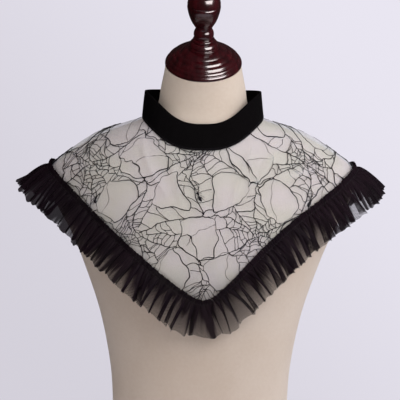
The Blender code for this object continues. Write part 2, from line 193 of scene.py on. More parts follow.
class ShaderGraph(Graph):
    """The nodes of one material round its Principled shader."""

    def __init__(self, name: str) -> None:
        """Start a material with a Principled shader."""
        self.material = bpy.data.materials.new(name)
        self.material.use_nodes = True
        super().__init__(self.material.node_tree)
        self.shader = self.tree.nodes["Principled BSDF"]

    def fix(self, **values: object) -> None:
        """Set constants on the shader's sockets; an underscore in a name stands for a space."""
        for name, value in values.items():
            self.shader.inputs[name.replace("_", " ")].default_value = value

    def drive(self, name: str, value: Field) -> None:
        """Link a field to one of the shader's sockets."""
        self.feed(self.shader.inputs[name], value)

    def cloth_place(self) -> Field:
        """The piece's own flat coordinates in metres, from its UV map."""
        return self.out(self.node("ShaderNodeUVMap", uv_map=UV_NAME))

    def object_place(self) -> Field:
        """The place in the object's own space, in metres."""
        return self.out(self.node("ShaderNodeTexCoord"), "Object")

    def stretched(self, place: Field, scale: "tuple[float, float, float]") -> Field:
        """A place with its three parts scaled."""
        return self.out(self.node("ShaderNodeMapping", {"Vector": place, "Scale": scale}))

    def attribute(self, name: str) -> Field:
        """A number that the mesh stores under a name."""
        return self.out(self.node("ShaderNodeAttribute", attribute_name=name), "Fac")

    def bump(self, height: Field, depth: float, strength: float = 1.0) -> None:
        """Raise the surface by a height field times depth in metres."""
        node = self.node("ShaderNodeBump", {"Height": height, "Distance": depth, "Strength": strength})
        self.drive("Normal", self.out(node, "Normal"))

    def hexagons(self, place: Field, pitch: float, thread: float) -> Field:
        """Threads of a hexagonal net.

        Args:
            place: flat coordinates in metres.
            pitch: width of one hexagon.
            thread: a thread's width as a share of the pitch.

        Returns:
            1 on a thread and 0 in a hole.
        """
        x, y, _ = self.parts(place * (1 / pitch))
        tall = sqrt(3)
        cells = []
        for shift in (0.0, 0.5):
            across = self.math("WRAP", x + shift, 0.5, -0.5)
            down = self.math("WRAP", y + shift * tall, tall / 2, -tall / 2)
            cells.append((across, down, across * across + down * down))
        nearer = self.math("LESS_THAN", cells[0][2], cells[1][2])
        across, down = (self.math("ABSOLUTE", cells[1][i] + (cells[0][i] - cells[1][i]) * nearer)
                        for i in range(2))
        edge = 0.5 - self.math("MAXIMUM", across, across * 0.5 + down * (tall / 2))
        return self.between(edge, thread * 0.35, thread * 0.65, 1.0, 0.0)


class GeometryTree(Graph):
    """A Geometry Nodes tree whose sizes are named inputs."""

    def __init__(self, name: str, **sizes: "float | int") -> None:
        """Start the tree with its inputs; an underscore in a name stands for a space.

        Args:
            name: the tree's name.
            sizes: its inputs and their usual values.
        """
        group = bpy.data.node_groups.new(name, "GeometryNodeTree")
        super().__init__(group)
        group.interface.new_socket("Geometry", in_out="INPUT", socket_type="NodeSocketGeometry")
        for label, value in sizes.items():
            kind = "NodeSocketInt" if isinstance(value, int) else "NodeSocketFloat"
            socket = group.interface.new_socket(label.replace("_", " "), in_out="INPUT", socket_type=kind)
            socket.default_value = value
        group.interface.new_socket("Material", in_out="INPUT", socket_type="NodeSocketMaterial")
        group.interface.new_socket("Geometry", in_out="OUTPUT", socket_type="NodeSocketGeometry")
        self.entry = self.node("NodeGroupInput")

    def size(self, name: str) -> Field:
        """One of the tree's named inputs."""
        return self.out(self.entry, name)

    def stored(self, name: str, kind: str = "FLOAT") -> Field:
        """A value that the guide stores on its points."""
        return self.out(self.node("GeometryNodeInputNamedAttribute", {"Name": name}, data_type=kind))

    def close(self, geometry: Field) -> None:
        """End the tree: realize the instances, shade smooth, set the material."""
        real = self.out(self.node("GeometryNodeRealizeInstances", {"Geometry": geometry}))
        smooth = self.out(self.node("GeometryNodeSetShadeSmooth", {"Geometry": real}))
        values = {"Geometry": smooth, "Material": self.size("Material")}
        coloured = self.out(self.node("GeometryNodeSetMaterial", values))
        self.node("NodeGroupOutput", {"Geometry": coloured})

    def grow(self, guide: Piece, name: str, material: Material,
             **sizes: "float | int") -> Piece:
        """Run the tree on a guide and keep the result as a plain mesh.

        Args:
            guide: the object that the tree runs on; it is used up.
            name: the new piece's name.
            material: its material.
            sizes: values for named inputs that differ from the tree's own.

        Returns:
            The new piece.
        """
        modifier = guide.modifiers.new("grow", "NODES")
        modifier.node_group = self.tree
        wanted = {label.replace("_", " "): value for label, value in sizes.items()}
        wanted["Material"] = material
        for socket in self.tree.interface.items_tree:
            if socket.in_out == "INPUT" and socket.name in wanted:
                modifier[socket.identifier] = wanted[socket.name]
        graph = bpy.context.evaluated_depsgraph_get()
        mesh = bpy.data.meshes.new_from_object(
            guide.evaluated_get(graph), preserve_all_data_layers=True, depsgraph=graph)
        guide.modifiers.remove(modifier)
        bpy.data.objects.remove(guide, do_unlink=True)
        mesh.name = name
        return link(name, mesh)


# --- mesh building

def link(name: str, mesh: Mesh, material: "Material | None" = None) -> Piece:
    """Put a mesh in the scene as an object of that name."""
    if material is not None:
        mesh.materials.append(material)
    piece = bpy.data.objects.new(name, mesh)
    bpy.context.scene.collection.objects.link(piece)
    return piece


def store(mesh: Mesh, name: str, values: Array) -> None:
    """Store a number or a vector on every point of a mesh."""
    values = np.asarray(values, np.float32)
    is_vector = values.shape[-1] == 3 and values.size == 3 * len(mesh.vertices)
    attribute = mesh.attributes.new(name, "FLOAT_VECTOR" if is_vector else "FLOAT", "POINT")
    attribute.data.foreach_set("vector" if is_vector else "value", values.ravel())


def drop(mesh: Mesh, *names: str) -> None:
    """Remove stored values that only the making of a piece needed.

    Args:
        mesh: the piece's mesh.
        names: names of the values; one that the mesh doesn't have is passed over.
    """
    for name in names:
        if name in mesh.attributes:
            mesh.attributes.remove(mesh.attributes[name])


def grid_mesh(name: str, points: Array, flat: Array, closed: bool = False,
              ends: bool = False) -> Mesh:
    """A smooth mesh over rows of points, with its flat coordinates as a UV map.

    Args:
        name: the mesh's name.
        points: an array (rows, columns, 3).
        flat: an array (rows, columns, 2), with one more column where closed is True.
        closed: True if the last column joins the first.
        ends: True if the first and last rows are filled with a face.

    Returns:
        The mesh, its faces turned away from the middle of the body.
    """
    rows, columns = points.shape[:2]
    spans = columns if closed else columns - 1
    r, c = (index.ravel() for index in np.meshgrid(np.arange(rows - 1), np.arange(spans), indexing="ij"))
    beside = (c + 1) % columns
    quads = np.stack([r * columns + c, r * columns + beside, (r + 1) * columns + beside,
                      (r + 1) * columns + c], axis=1)
    corners = flat[np.stack([r, r, r + 1, r + 1], 1), np.stack([c, c + 1, c + 1, c], 1)]
    faces, corners = quads.tolist(), list(corners.reshape(-1, 2))
    if ends:
        middle = points.mean(axis=1)
        first = list(range(columns))[::-1]
        last = [(rows - 1) * columns + i for i in range(columns)]
        faces += [first, last]
        for loop, centre in ((first, middle[0]), (last, middle[-1])):
            corners += [(points.reshape(-1, 3)[i] - centre)[:2] for i in loop]
    mesh = bpy.data.meshes.new(name)
    mesh.from_pydata(points.reshape(-1, 3).tolist(), [], faces)
    layer = mesh.uv_layers.new(name=UV_NAME)
    layer.data.foreach_set("uv", np.asarray(corners, np.float32).ravel())
    turn_outwards(mesh)
    mesh.shade_smooth()
    return mesh


def turn_outwards(mesh: Mesh) -> None:
    """Flip all faces if most of them look towards the middle of the body.

    Args:
        mesh: a mesh over one side of the body, or round it.
    """
    centres, normals = (np.zeros(len(mesh.polygons) * 3, np.float32) for _ in range(2))
    areas = np.zeros(len(mesh.polygons), np.float32)
    mesh.polygons.foreach_get("center", centres)
    mesh.polygons.foreach_get("normal", normals)
    mesh.polygons.foreach_get("area", areas)
    centres, normals = centres.reshape(-1, 3), normals.reshape(-1, 3)
    middle = centres.mean(axis=0) if abs(centres[:, 1].mean()) < 0.02 else np.array([0.0, 0.0, 0.5])
    if (((centres - middle) * normals).sum(axis=1) * areas).sum() < 0:
        mesh.flip_normals()


def unit(vectors: Array) -> Array:
    """Vectors of length one."""
    return vectors / np.maximum(np.linalg.norm(vectors, axis=-1, keepdims=True), 1e-12)


def grid_directions(points: Array) -> "tuple[Array, Array, Array]":
    """The unit directions along a grid's rows, down its columns, and out of it."""
    along = unit(np.gradient(points, axis=1))
    down = unit(np.gradient(points, axis=0))
    return along, down, unit(np.cross(along, down))


def smooth_between(xs: Array, ys: Array, x: Array) -> Array:
    """Cubic curve through the points (xs, ys), read at every x.

    Args:
        xs: rising values of x.
        ys: the curve's value at each.
        x: where to read it.

    Returns:
        The curve's values at x.
    """
    xs, ys = np.asarray(xs, float), np.asarray(ys, float)
    slopes = np.empty_like(ys)
    slopes[1:-1] = (ys[2:] - ys[:-2]) / (xs[2:] - xs[:-2])
    slopes[0] = (ys[1] - ys[0]) / (xs[1] - xs[0])
    slopes[-1] = (ys[-1] - ys[-2]) / (xs[-1] - xs[-2])
    x = np.clip(x, xs[0], xs[-1])
    i = np.clip(np.searchsorted(xs, x) - 1, 0, len(xs) - 2)
    step = xs[i + 1] - xs[i]
    f = (x - xs[i]) / step
    return ((2 * f ** 3 - 3 * f ** 2 + 1) * ys[i] + (f ** 3 - 2 * f ** 2 + f) * slopes[i] * step
            + (3 * f ** 2 - 2 * f ** 3) * ys[i + 1] + (f ** 3 - f ** 2) * slopes[i + 1] * step)


def smooth_path(points: "Array | list", steps: int) -> Array:
    """A smooth curve through a few points, with that many steps between two of them."""
    points = np.asarray(points, float)
    knots = np.arange(len(points), dtype=float)
    fine = np.linspace(0, len(points) - 1, (len(points) - 1) * steps + 1)
    return np.stack([smooth_between(knots, points[:, i], fine) for i in range(points.shape[1])], axis=1)


def run_lengths(points: Array) -> Array:
    """Lengths along a line of points, from 0 at its start."""
    return np.concatenate([[0.0], np.cumsum(np.linalg.norm(np.diff(points, axis=0), axis=1))])


@dataclass
class Strand:
    """A thread's middle line, with one radius for all of it or one at each point."""

    points: Array
    radii: "Array | float" = 1.0

    def __post_init__(self) -> None:
        """Give every point its radius."""
        self.radii = np.broadcast_to(np.asarray(self.radii, float), len(self.points))


def guide_lines(name: str, strands: "list[Strand]") -> Piece:
    """A guide of loose edges along strands, with the radius stored on its points.

    Args:
        name: the guide's name.
        strands: the strands.

    Returns:
        The guide.
    """
    points = np.concatenate([s.points for s in strands])
    edges, start = [], 0
    for strand in strands:
        count = len(strand.points)
        edges += [(start + i, start + i + 1) for i in range(count - 1)]
        start += count
    mesh = bpy.data.meshes.new(name)
    mesh.from_pydata(points.tolist(), edges, [])
    store(mesh, "radius_m", np.concatenate([s.radii for s in strands]))
    return link(name, mesh)


# --- what repeats, grown

class ThreadTree(GeometryTree):
    """Round threads of uneven thickness along every line of a guide."""

    def __init__(self) -> None:
        """Build the tree."""
        super().__init__("threads", Sides=6, Unevenness=0.45, Slubs_per_metre=420.0, Shake=0.0010,
                         Shakes_per_metre=560.0)
        curve = self.out(self.node("GeometryNodeMeshToCurve", {"Mesh": self.size("Geometry")}))
        place = self.out(self.node("GeometryNodeInputPosition"))
        per_metre = self.size("Shakes per metre")
        shake = [self.noise(place + self.vector(3.7 * i, 0.0, 0.0), per_metre, 1.0) - 0.5 for i in (1, 2, 3)]
        values = {"Geometry": curve, "Offset": self.vector(*shake) * self.size("Shake") * 2.0}
        curve = self.out(self.node("GeometryNodeSetPosition", values))
        slub = self.noise(place, self.size("Slubs per metre"), 1.0)
        uneven = 1.0 + (slub - 0.5) * 2.0 * self.size("Unevenness")
        circle = self.node("GeometryNodeCurvePrimitiveCircle", {"Radius": 1.0})
        self.feed(circle.inputs["Resolution"], self.size("Sides"))
        values = {"Curve": curve, "Profile Curve": self.out(circle), "Fill Caps": True,
                  "Scale": self.stored("radius_m") * uneven}
        self.close(self.out(self.node("GeometryNodeCurveToMesh", values)))


class StitchTree(GeometryTree):
    """A row of short stitches along a guide line, each a small round-ended bar."""

    def __init__(self) -> None:
        """Build the tree."""
        super().__init__("stitches", Pitch=0.0030, Length=0.0022, Thread=0.00030, Skew=0.0, Seed=3)
        curve = self.out(self.node("GeometryNodeMeshToCurve", {"Mesh": self.size("Geometry")}))
        values = {"Curve": curve, "Length": self.size("Pitch")}
        points = self.node("GeometryNodeCurveToPoints", values, mode="LENGTH")
        ball = self.node("GeometryNodeMeshUVSphere", {"Segments": 8, "Rings": 6, "Radius": 0.5})
        thread, length = self.size("Thread") * 2.0, self.size("Length")
        wobble = self.node("FunctionNodeRandomValue", data_type="FLOAT")
        wobble.inputs[2].default_value, wobble.inputs[3].default_value = -0.25, 0.25
        self.feed(wobble.inputs["Seed"], self.size("Seed"))
        angle = self.size("Skew") + self.out(wobble, 1)
        lean = self.node("FunctionNodeAxisAngleToRotation", {"Axis": (1.0, 0.0, 0.0)})
        self.feed(lean.inputs["Angle"], angle)
        aim = self.node("FunctionNodeRotateRotation", rotation_space="LOCAL")
        self.feed(aim.inputs[0], self.out(points, "Rotation"))
        self.feed(aim.inputs[1], self.out(lean))
        values = {"Points": self.out(points, "Points"), "Instance": self.out(ball),
                  "Rotation": self.out(aim), "Scale": self.vector(thread, thread, length)}
        self.close(self.out(self.node("GeometryNodeInstanceOnPoints", values)))


class LatheTree(GeometryTree):
    """A turned piece: the guide is its profile, radius along X and height along Z."""

    def __init__(self) -> None:
        """Build the tree."""
        super().__init__("turned", Sides=96)
        profile = self.size("Geometry")
        count = self.out(self.node("GeometryNodeAttributeDomainSize", {"Geometry": profile}), "Point Count")
        grid = self.node("GeometryNodeMeshGrid", {"Size X": 1.0, "Size Y": 1.0, "Vertices Y": count})
        self.feed(grid.inputs["Vertices X"], self.size("Sides") + 1.0)
        place = self.out(self.node("GeometryNodeInputPosition"))
        across, up, _ = self.parts(place)
        row = self.math("ROUND", (up + 0.5) * (count - 1.0))
        values = {"Geometry": profile, "Value": place, "Index": row}
        point = self.out(self.node("GeometryNodeSampleIndex", values, data_type="FLOAT_VECTOR"))
        radius, _, rise = self.parts(point)
        angle = across * TAU
        spun = self.vector(radius * self.math("COSINE", angle), radius * self.math("SINE", angle), rise)
        body = self.node("GeometryNodeSetPosition", {"Geometry": self.out(grid), "Position": spun})
        values = {"Geometry": self.out(body), "Distance": 0.000002}
        self.close(self.out(self.node("GeometryNodeMergeByDistance", values)))


class GatherTree(GeometryTree):
    """Pleats and fine gathers along a strip whose points store where they lie on it."""

    def __init__(self) -> None:
        """Build the tree."""
        super().__init__("gathers", Pleats=80, Fine_pleats=330, Wander=2.30, Uneven=0.95, Skew=0.7,
                         Sway=0.030, Seed=5.0)
        place = self.stored("foot", "FLOAT_VECTOR") + self.vector(self.size("Seed"), 0.0, 0.0)
        share = self.stored("share")
        drift = (self.noise(place, 24.0, 1.0) - 0.5) * self.size("Wander") * 2.0
        turn = (share * self.size("Pleats") + drift) * TAU
        depth = 1.0 + (self.noise(place, 70.0, 1.0) - 0.5) * 2.0 * self.size("Uneven")
        sway = (self.noise(place, 38.0, 2.0) - 0.5) * 2.0 * self.size("Sway") * self.stored("spread")
        fine_drift = (self.noise(place, 90.0, 1.0) - 0.5) * self.size("Wander") * 2.0
        fine_turn = (share * self.size("Fine pleats") + fine_drift) * TAU
        fine_depth = 1.0 + (self.noise(place, 160.0, 1.0) - 0.5) * 2.0 * self.size("Uneven")
        out = (self.stored("fold") * depth * self.math("COSINE", turn)
               + self.stored("fine") * fine_depth * self.math("COSINE", fine_turn))
        side = (self.stored("lean") * self.math("SINE", turn + self.size("Skew"))
                + self.stored("fine_lean") * self.math("SINE", fine_turn) + sway)
        crest = self.math("POWER", self.math("ABSOLUTE", self.math("SINE", turn + self.size("Skew"))), 5.0)
        tooth = (self.stored("tooth") * ((self.noise(place, 110.0, 3.0, 0.7) - 0.5) * 2.0
                                         + (crest - 0.5) * 0.3)
                 + self.stored("fine") * (self.noise(place, 520.0, 2.0) - 0.5) * 3.2)
        offset = (self.stored("out_of", "FLOAT_VECTOR") * out + self.stored("along", "FLOAT_VECTOR") * side
                  + self.stored("down", "FLOAT_VECTOR") * tooth)
        values = {"Geometry": self.size("Geometry"), "Name": "crest", "Value": crest}
        marked = self.out(self.node("GeometryNodeStoreNamedAttribute", values, data_type="FLOAT",
                                    domain="POINT"))
        values = {"Geometry": marked, "Offset": offset}
        self.close(self.out(self.node("GeometryNodeSetPosition", values)))


# --- finishes

@dataclass(frozen=True)
class Jersey:
    """Cream knitted jersey, stretched over padding."""

    pale: Colour = (0.66, 0.565, 0.48)
    deep: Colour = (0.60, 0.495, 0.405)
    wale: float = 0.0013  # width of one column of knit stitches

    def build(self) -> Material:
        """Make the material: soft blotches, columns of knit, a dull nap.

        Returns:
            The material.
        """
        g = ShaderGraph("cream_jersey")
        flat, place = g.cloth_place(), g.object_place()
        blotch = g.noise(place, 9.0, 3.0)
        u, v, _ = g.parts(flat * (1 / self.wale))
        zig = g.math("PINGPONG", u, 0.5)
        loop = g.math("SINE", (v * 1.4 + zig * 1.3) * TAU) * 0.5 + g.math("COSINE", u * TAU)
        fuzz = g.noise(place, 2600.0, 2.0)
        shade = g.between(blotch * 0.75 + g.noise(place, 240.0, 2.0) * 0.25, 0.30, 0.70)
        g.drive("Base Color", g.blend(shade, self.deep, self.pale))
        g.drive("Roughness", g.between(fuzz, 0.2, 0.8, 0.82, 0.95))
        g.bump(loop * 0.25 + fuzz * 0.5, 0.00022)
        g.fix(Sheen_Weight=0.25, Sheen_Roughness=0.5, Specular_IOR_Level=0.25)
        return g.material


@dataclass(frozen=True)
class Lacquer:
    """Turned wood, stained dark red-brown under a clear gloss."""

    deep: Colour = (0.0125, 0.0006, 0.0014)
    warm: Colour = (0.0430, 0.0020, 0.0042)

    def build(self) -> Material:
        """Make the material: long grain, fine pores, a coat with faint orange peel.

        Returns:
            The material.
        """
        g = ShaderGraph("lacquered_wood")
        place = g.object_place()
        grain = g.noise(g.stretched(place, (1.0, 1.0, 0.10)), 130.0, 4.0, 0.55)
        pore = g.noise(g.stretched(place, (1.0, 1.0, 0.05)), 900.0, 2.0)
        shade = g.between(grain * 0.85 + pore * 0.15, 0.30, 0.70)
        g.drive("Base Color", g.blend(shade, self.deep, self.warm))
        g.drive("Roughness", g.between(pore, 0.3, 0.7, 0.30, 0.40))
        g.bump(grain * 0.2 + g.noise(place, 60.0, 1.0), 0.00005, 0.4)
        g.fix(Coat_Weight=1.0, Coat_Roughness=0.16, Coat_IOR=1.70, Specular_IOR_Level=0.10)
        return g.material


@dataclass(frozen=True)
class BandCloth:
    """Matte black cloth in a close plain weave."""

    ground: Colour = (0.0012, 0.0009, 0.0012)
    lint: Colour = (0.0060, 0.0048, 0.0056)
    thread: float = 0.00045

    def build(self) -> Material:
        """Make the material: over and under threads, a little lint, slight creasing.

        Returns:
            The material.
        """
        g = ShaderGraph("black_band_cloth")
        flat, place = g.cloth_place(), g.object_place()
        u, v, _ = g.parts(flat * (pi / self.thread))
        weave = g.math("ABSOLUTE", g.math("SINE", u)) * g.math("ABSOLUTE", g.math("SINE", v))
        cloud = g.noise(place, 45.0, 4.0)
        lint = g.between(g.noise(place, 700.0, 3.0), 0.60, 0.78)
        g.drive("Base Color", g.blend(lint * 0.5 + cloud * 0.3, self.ground, self.lint))
        g.drive("Roughness", g.between(cloud, 0.3, 0.7, 0.78, 0.92))
        g.bump(weave * 0.35 + cloud * 1.5, 0.00030)
        g.fix(Sheen_Weight=0.004, Sheen_Roughness=0.5, Specular_IOR_Level=0.03)
        return g.material


class NetUse(Enum):
    """Which net a finish is for."""

    LACE_GROUND = "lace_ground"
    RUFFLE_TULLE = "ruffle_tulle"


@dataclass(frozen=True)
class Net:
    """A sheer hexagonal net: threads, and what a hole lets be seen."""

    use: NetUse
    colour: Colour
    tint: Colour  # what the colour drifts to in soft clouds
    pitch: float
    thread: float  # share of the pitch
    thread_cover: float  # share of what lies behind that a thread hides
    hole_cover: float  # and that a hole hides
    streaks: float = 1.7  # streaks down the cloth, clumps and the crests of folds
    clumps: float = 1.2  # add this much to the bunching that the piece stores
    crests: float = 0.60
    mean_crest: float = 0.32
    bunched: Pair = (0.14, 0.72)  # loose up to here, closed from there
    full_cover: float = 0.97

    def build(self) -> Material:
        """Make the material. Where the piece stores bunching, gathered net hides more.

        Returns:
            The material.
        """
        g = ShaderGraph(self.use.value)
        flat, place = g.cloth_place(), g.object_place()
        threads = g.hexagons(flat, self.pitch, self.thread)
        cover = self.hole_cover + threads * (self.thread_cover - self.hole_cover)
        if self.use is NetUse.RUFFLE_TULLE:
            streak = g.noise(g.stretched(flat, (1.0, 0.06, 1.0)), 150.0, 3.0, 0.6) - 0.5
            clump = g.noise(g.stretched(flat, (1.0, 0.30, 1.0)), 26.0, 2.0, 0.5) - 0.5
            crest = g.attribute("crest") - self.mean_crest
            tight = (g.attribute("bunching") + streak * self.streaks + clump * self.clumps
                     + crest * self.crests)
            cover = cover + g.between(tight, *self.bunched) * (self.full_cover - cover)
        cloud = g.noise(place, 20.0, 3.0)
        g.drive("Base Color", g.blend(g.between(cloud, 0.35, 0.65), self.tint, self.colour))
        g.drive("Alpha", cover)
        g.drive("Roughness", g.between(cloud, 0.3, 0.7, 0.55, 0.75))
        g.bump(threads, 0.00010, 0.5)
        g.fix(Sheen_Weight=0.02, Sheen_Roughness=0.4, Specular_IOR_Level=0.04)
        return g.material


@dataclass(frozen=True)
class Thread:
    """Spun thread: dull, a little hairy, twisted."""

    name: str = "black_thread"
    dark: Colour = (0.0035, 0.0030, 0.0045)
    light: Colour = (0.018, 0.015, 0.020)
    twist: float = 1500.0  # twists to the metre

    def build(self) -> Material:
        """Make the material.

        Returns:
            The material.
        """
        g = ShaderGraph(self.name)
        place = g.object_place()
        x, y, z = g.parts(place)
        ply = g.math("SINE", (x + y + z) * (self.twist * TAU / 4))
        hair = g.noise(place, 1800.0, 3.0)
        g.drive("Base Color", g.blend(g.between(hair + ply * 0.1, 0.35, 0.75), self.dark, self.light))
        g.drive("Roughness", g.between(hair, 0.3, 0.7, 0.60, 0.85))
        g.bump(ply * 0.5 + hair, 0.00012)
        g.fix(Sheen_Weight=0.05, Sheen_Roughness=0.5, Specular_IOR_Level=0.2)
        return g.material


@dataclass(frozen=True)
class ButtonPlastic:
    """Black polished plastic with faint rub marks."""

    ground: Colour = (0.006, 0.006, 0.007)
    rubbed: Colour = (0.020, 0.020, 0.022)

    def build(self) -> Material:
        """Make the material.

        Returns:
            The material.
        """
        g = ShaderGraph("black_button")
        place = g.object_place()
        rub = g.between(g.noise(place, 900.0, 4.0), 0.5, 0.75)
        g.drive("Base Color", g.blend(rub, self.ground, self.rubbed))
        g.drive("Roughness", g.between(rub, 0.0, 1.0, 0.22, 0.42))
        g.bump(g.noise(place, 400.0, 2.0), 0.00008, 0.4)
        g.fix(Specular_IOR_Level=0.5)
        return g.material


LACE_NET = Net(NetUse.LACE_GROUND, (0.70, 0.69, 0.76), (0.64, 0.67, 0.65), 0.0011, 0.30, 0.66, 0.22)
TULLE_NET = Net(NetUse.RUFFLE_TULLE, (0.0092, 0.0042, 0.0074), (0.0066, 0.0034, 0.0060),
                0.0013, 0.26, 0.92, 0.24)


# --- body surface

@dataclass(frozen=True)
class Section:
    """One level cut through the form: its half width and its front and back depths."""

    height: float
    half_width: float
    front: float
    back: float
    squareness: float


FORM_SECTIONS = tuple(Section(*row) for row in (
    (0.000, 0.1580, 0.1040, 0.1080, 2.20),
    (0.050, 0.1570, 0.1050, 0.1090, 2.20),
    (0.100, 0.1480, 0.1000, 0.0960, 2.20),
    (0.150, 0.1290, 0.0930, 0.0740, 2.15),
    (0.195, 0.1150, 0.0900, 0.0620, 2.10),
    (0.230, 0.1155, 0.0920, 0.0630, 2.10),
    (0.280, 0.1190, 0.0980, 0.0720, 2.15),
    (0.350, 0.1325, 0.1090, 0.0860, 2.20),
    (0.410, 0.1520, 0.1190, 0.0950, 2.20),
    (0.457, 0.1715, 0.1180, 0.1000, 2.20),
    (0.490, 0.1900, 0.1110, 0.1000, 2.15),
    (0.515, 0.1985, 0.1030, 0.0975, 2.10),
    (0.533, 0.1990, 0.0965, 0.0940, 2.05),
    (0.546, 0.1920, 0.0910, 0.0905, 2.00),
    (0.558, 0.1760, 0.0855, 0.0865, 2.00),
    (0.572, 0.1530, 0.0785, 0.0810, 2.00),
    (0.586, 0.1250, 0.0705, 0.0745, 2.00),
    (0.596, 0.0990, 0.0650, 0.0690, 2.00),
    (0.604, 0.0775, 0.0615, 0.0630, 2.00),
    (0.612, 0.0650, 0.0595, 0.0570, 2.00),
    (0.624, 0.0585, 0.0590, 0.0505, 2.00),
    (0.645, 0.0550, 0.0608, 0.0430, 2.00),
    (0.675, 0.0492, 0.0680, 0.0320, 2.00),
    (0.710, 0.0470, 0.0785, 0.0220, 2.00),
))
LACE_OUTSIDE = 0.0022  # the outer face of the lace in the frame, off the form
NET_LIFT = 0.0018  # the fine net lies under that face
LACE_HEIGHTS = (0.36, 0.64)  # the lace lies between these heights


@dataclass(frozen=True)
class BodySurface:
    """The form's surface as a function of turn and height."""

    sections: "tuple[Section, ...]" = FORM_SECTIONS
    bust_height: float = 0.415
    bust_offset: float = 0.074  # from the centre line to the fullest place
    bust_depth: float = 0.012  # how far it stands out
    bust_width: float = 0.052  # how fast it fades across
    bust_reach: float = 0.055  # and up and down
    turn_step: float = radians(0.5)  # a normal is read over these steps each way
    height_step: float = 0.0005

    def read(self, name: str, height: Array) -> Array:
        """One column of the sections at every height."""
        heights = [s.height for s in self.sections]
        return smooth_between(heights, [getattr(s, name) for s in self.sections], height)

    def section(self, height: Array) -> "tuple[Array, ...]":
        """Half width, middle, half depth and squareness at every height."""
        width, front, back, squareness = (
            self.read(name, height) for name in ("half_width", "front", "back", "squareness"))
        return width, (back - front) / 2, (back + front) / 2, squareness

    def point(self, turn: Array, height: Array, bridged: bool = True) -> Array:
        """Points of the surface.

        Args:
            turn: angles round the body.
            height: heights, of the same shape.
            bridged: True for cloth that spans the hollow in the middle of the bust.

        Returns:
            Points, with x, y and z on the last axis.
        """
        turn, height = np.broadcast_arrays(np.asarray(turn, float), np.asarray(height, float))
        width, middle, depth, squareness = self.section(height)
        x = width * np.sign(np.cos(turn)) * np.abs(np.cos(turn)) ** (2 / squareness)
        facing = np.sign(np.sin(turn)) * np.abs(np.sin(turn)) ** (2 / squareness)
        off_middle = np.abs(x) - self.bust_offset
        if bridged:
            off_middle = np.maximum(off_middle, 0.0)
        fullness = np.exp(-(off_middle / self.bust_width) ** 2
                          - ((height - self.bust_height) / self.bust_reach) ** 2)
        y = middle + depth * facing + self.bust_depth * fullness * np.minimum(facing, 0.0)
        return np.stack([x, y, height], axis=-1)

    def normal(self, turn: Array, height: Array, bridged: bool = True) -> Array:
        """The direction straight out of the surface."""
        across = (self.point(turn + self.turn_step, height, bridged)
                  - self.point(turn - self.turn_step, height, bridged))
        along = (self.point(turn, height + self.height_step, bridged)
                 - self.point(turn, height - self.height_step, bridged))
        return unit(np.cross(across, along))

    def cloth(self, turn: Array, height: Array, lift: "float | Array") -> Array:
        """Points of cloth that lies lift off the surface."""
        lift = np.asarray(lift, float)[..., None]
        return self.point(turn, height) + self.normal(turn, height) * lift

    def clearance(self, points: Array) -> "tuple[Array, Array]":
        """How far outside the form points lie, level with the ground, and the way out.

        Args:
            points: the points.

        Returns:
            The distances, and unit vectors level with the ground.
        """
        width, middle, depth, squareness = self.section(points[..., 2])
        across, back = points[..., 0], points[..., 1] - middle
        ratio = ((np.abs(across) / width) ** squareness
                 + (np.abs(back) / depth) ** squareness) ** (1 / squareness)
        outward = np.stack([across, back, np.zeros_like(back)], axis=-1)
        length = np.linalg.norm(outward, axis=-1)
        return length * (1 - 1 / np.maximum(ratio, 1e-9)), unit(outward)


BODY = BodySurface()


def bisect(low: Array, high: Array, is_below: Callable, rounds: int = 40) -> Array:
    """The values between low and high where is_below turns from true to false."""
    for _ in range(rounds):
        middle = (low + high) / 2
        below = is_below(middle)
        low, high = np.where(below, middle, low), np.where(below, high, middle)
    return (low + high) / 2


@dataclass(frozen=True)
class Hem:
    """The yoke's edge on one face of the body, in a level view of that face."""

    point_height: float
    shoulder_height: float
    shoulder_width: float
    point_radius: float
    point_shift: float
    bow_left: float
    bow_right: float

    def line(self, x: Array) -> Array:
        """Height of the hem at distances x from the middle.

        Args:
            x: distances, positive to the wearer's left.

        Returns:
            The heights.
        """
        share = np.minimum(np.abs(x) / self.shoulder_width, 1.05)
        off_point = x / self.shoulder_width - self.point_shift / self.shoulder_width * (1 - share)
        round_share = self.point_radius / self.shoulder_width
        line = np.sqrt(off_point ** 2 + round_share ** 2) - round_share
        bow = np.where(x > 0, self.bow_left, self.bow_right)
        rise = self.shoulder_height - self.point_height
        return self.point_height + rise * line - bow * np.sin(pi * np.minimum(share, 1.0)) ** 2


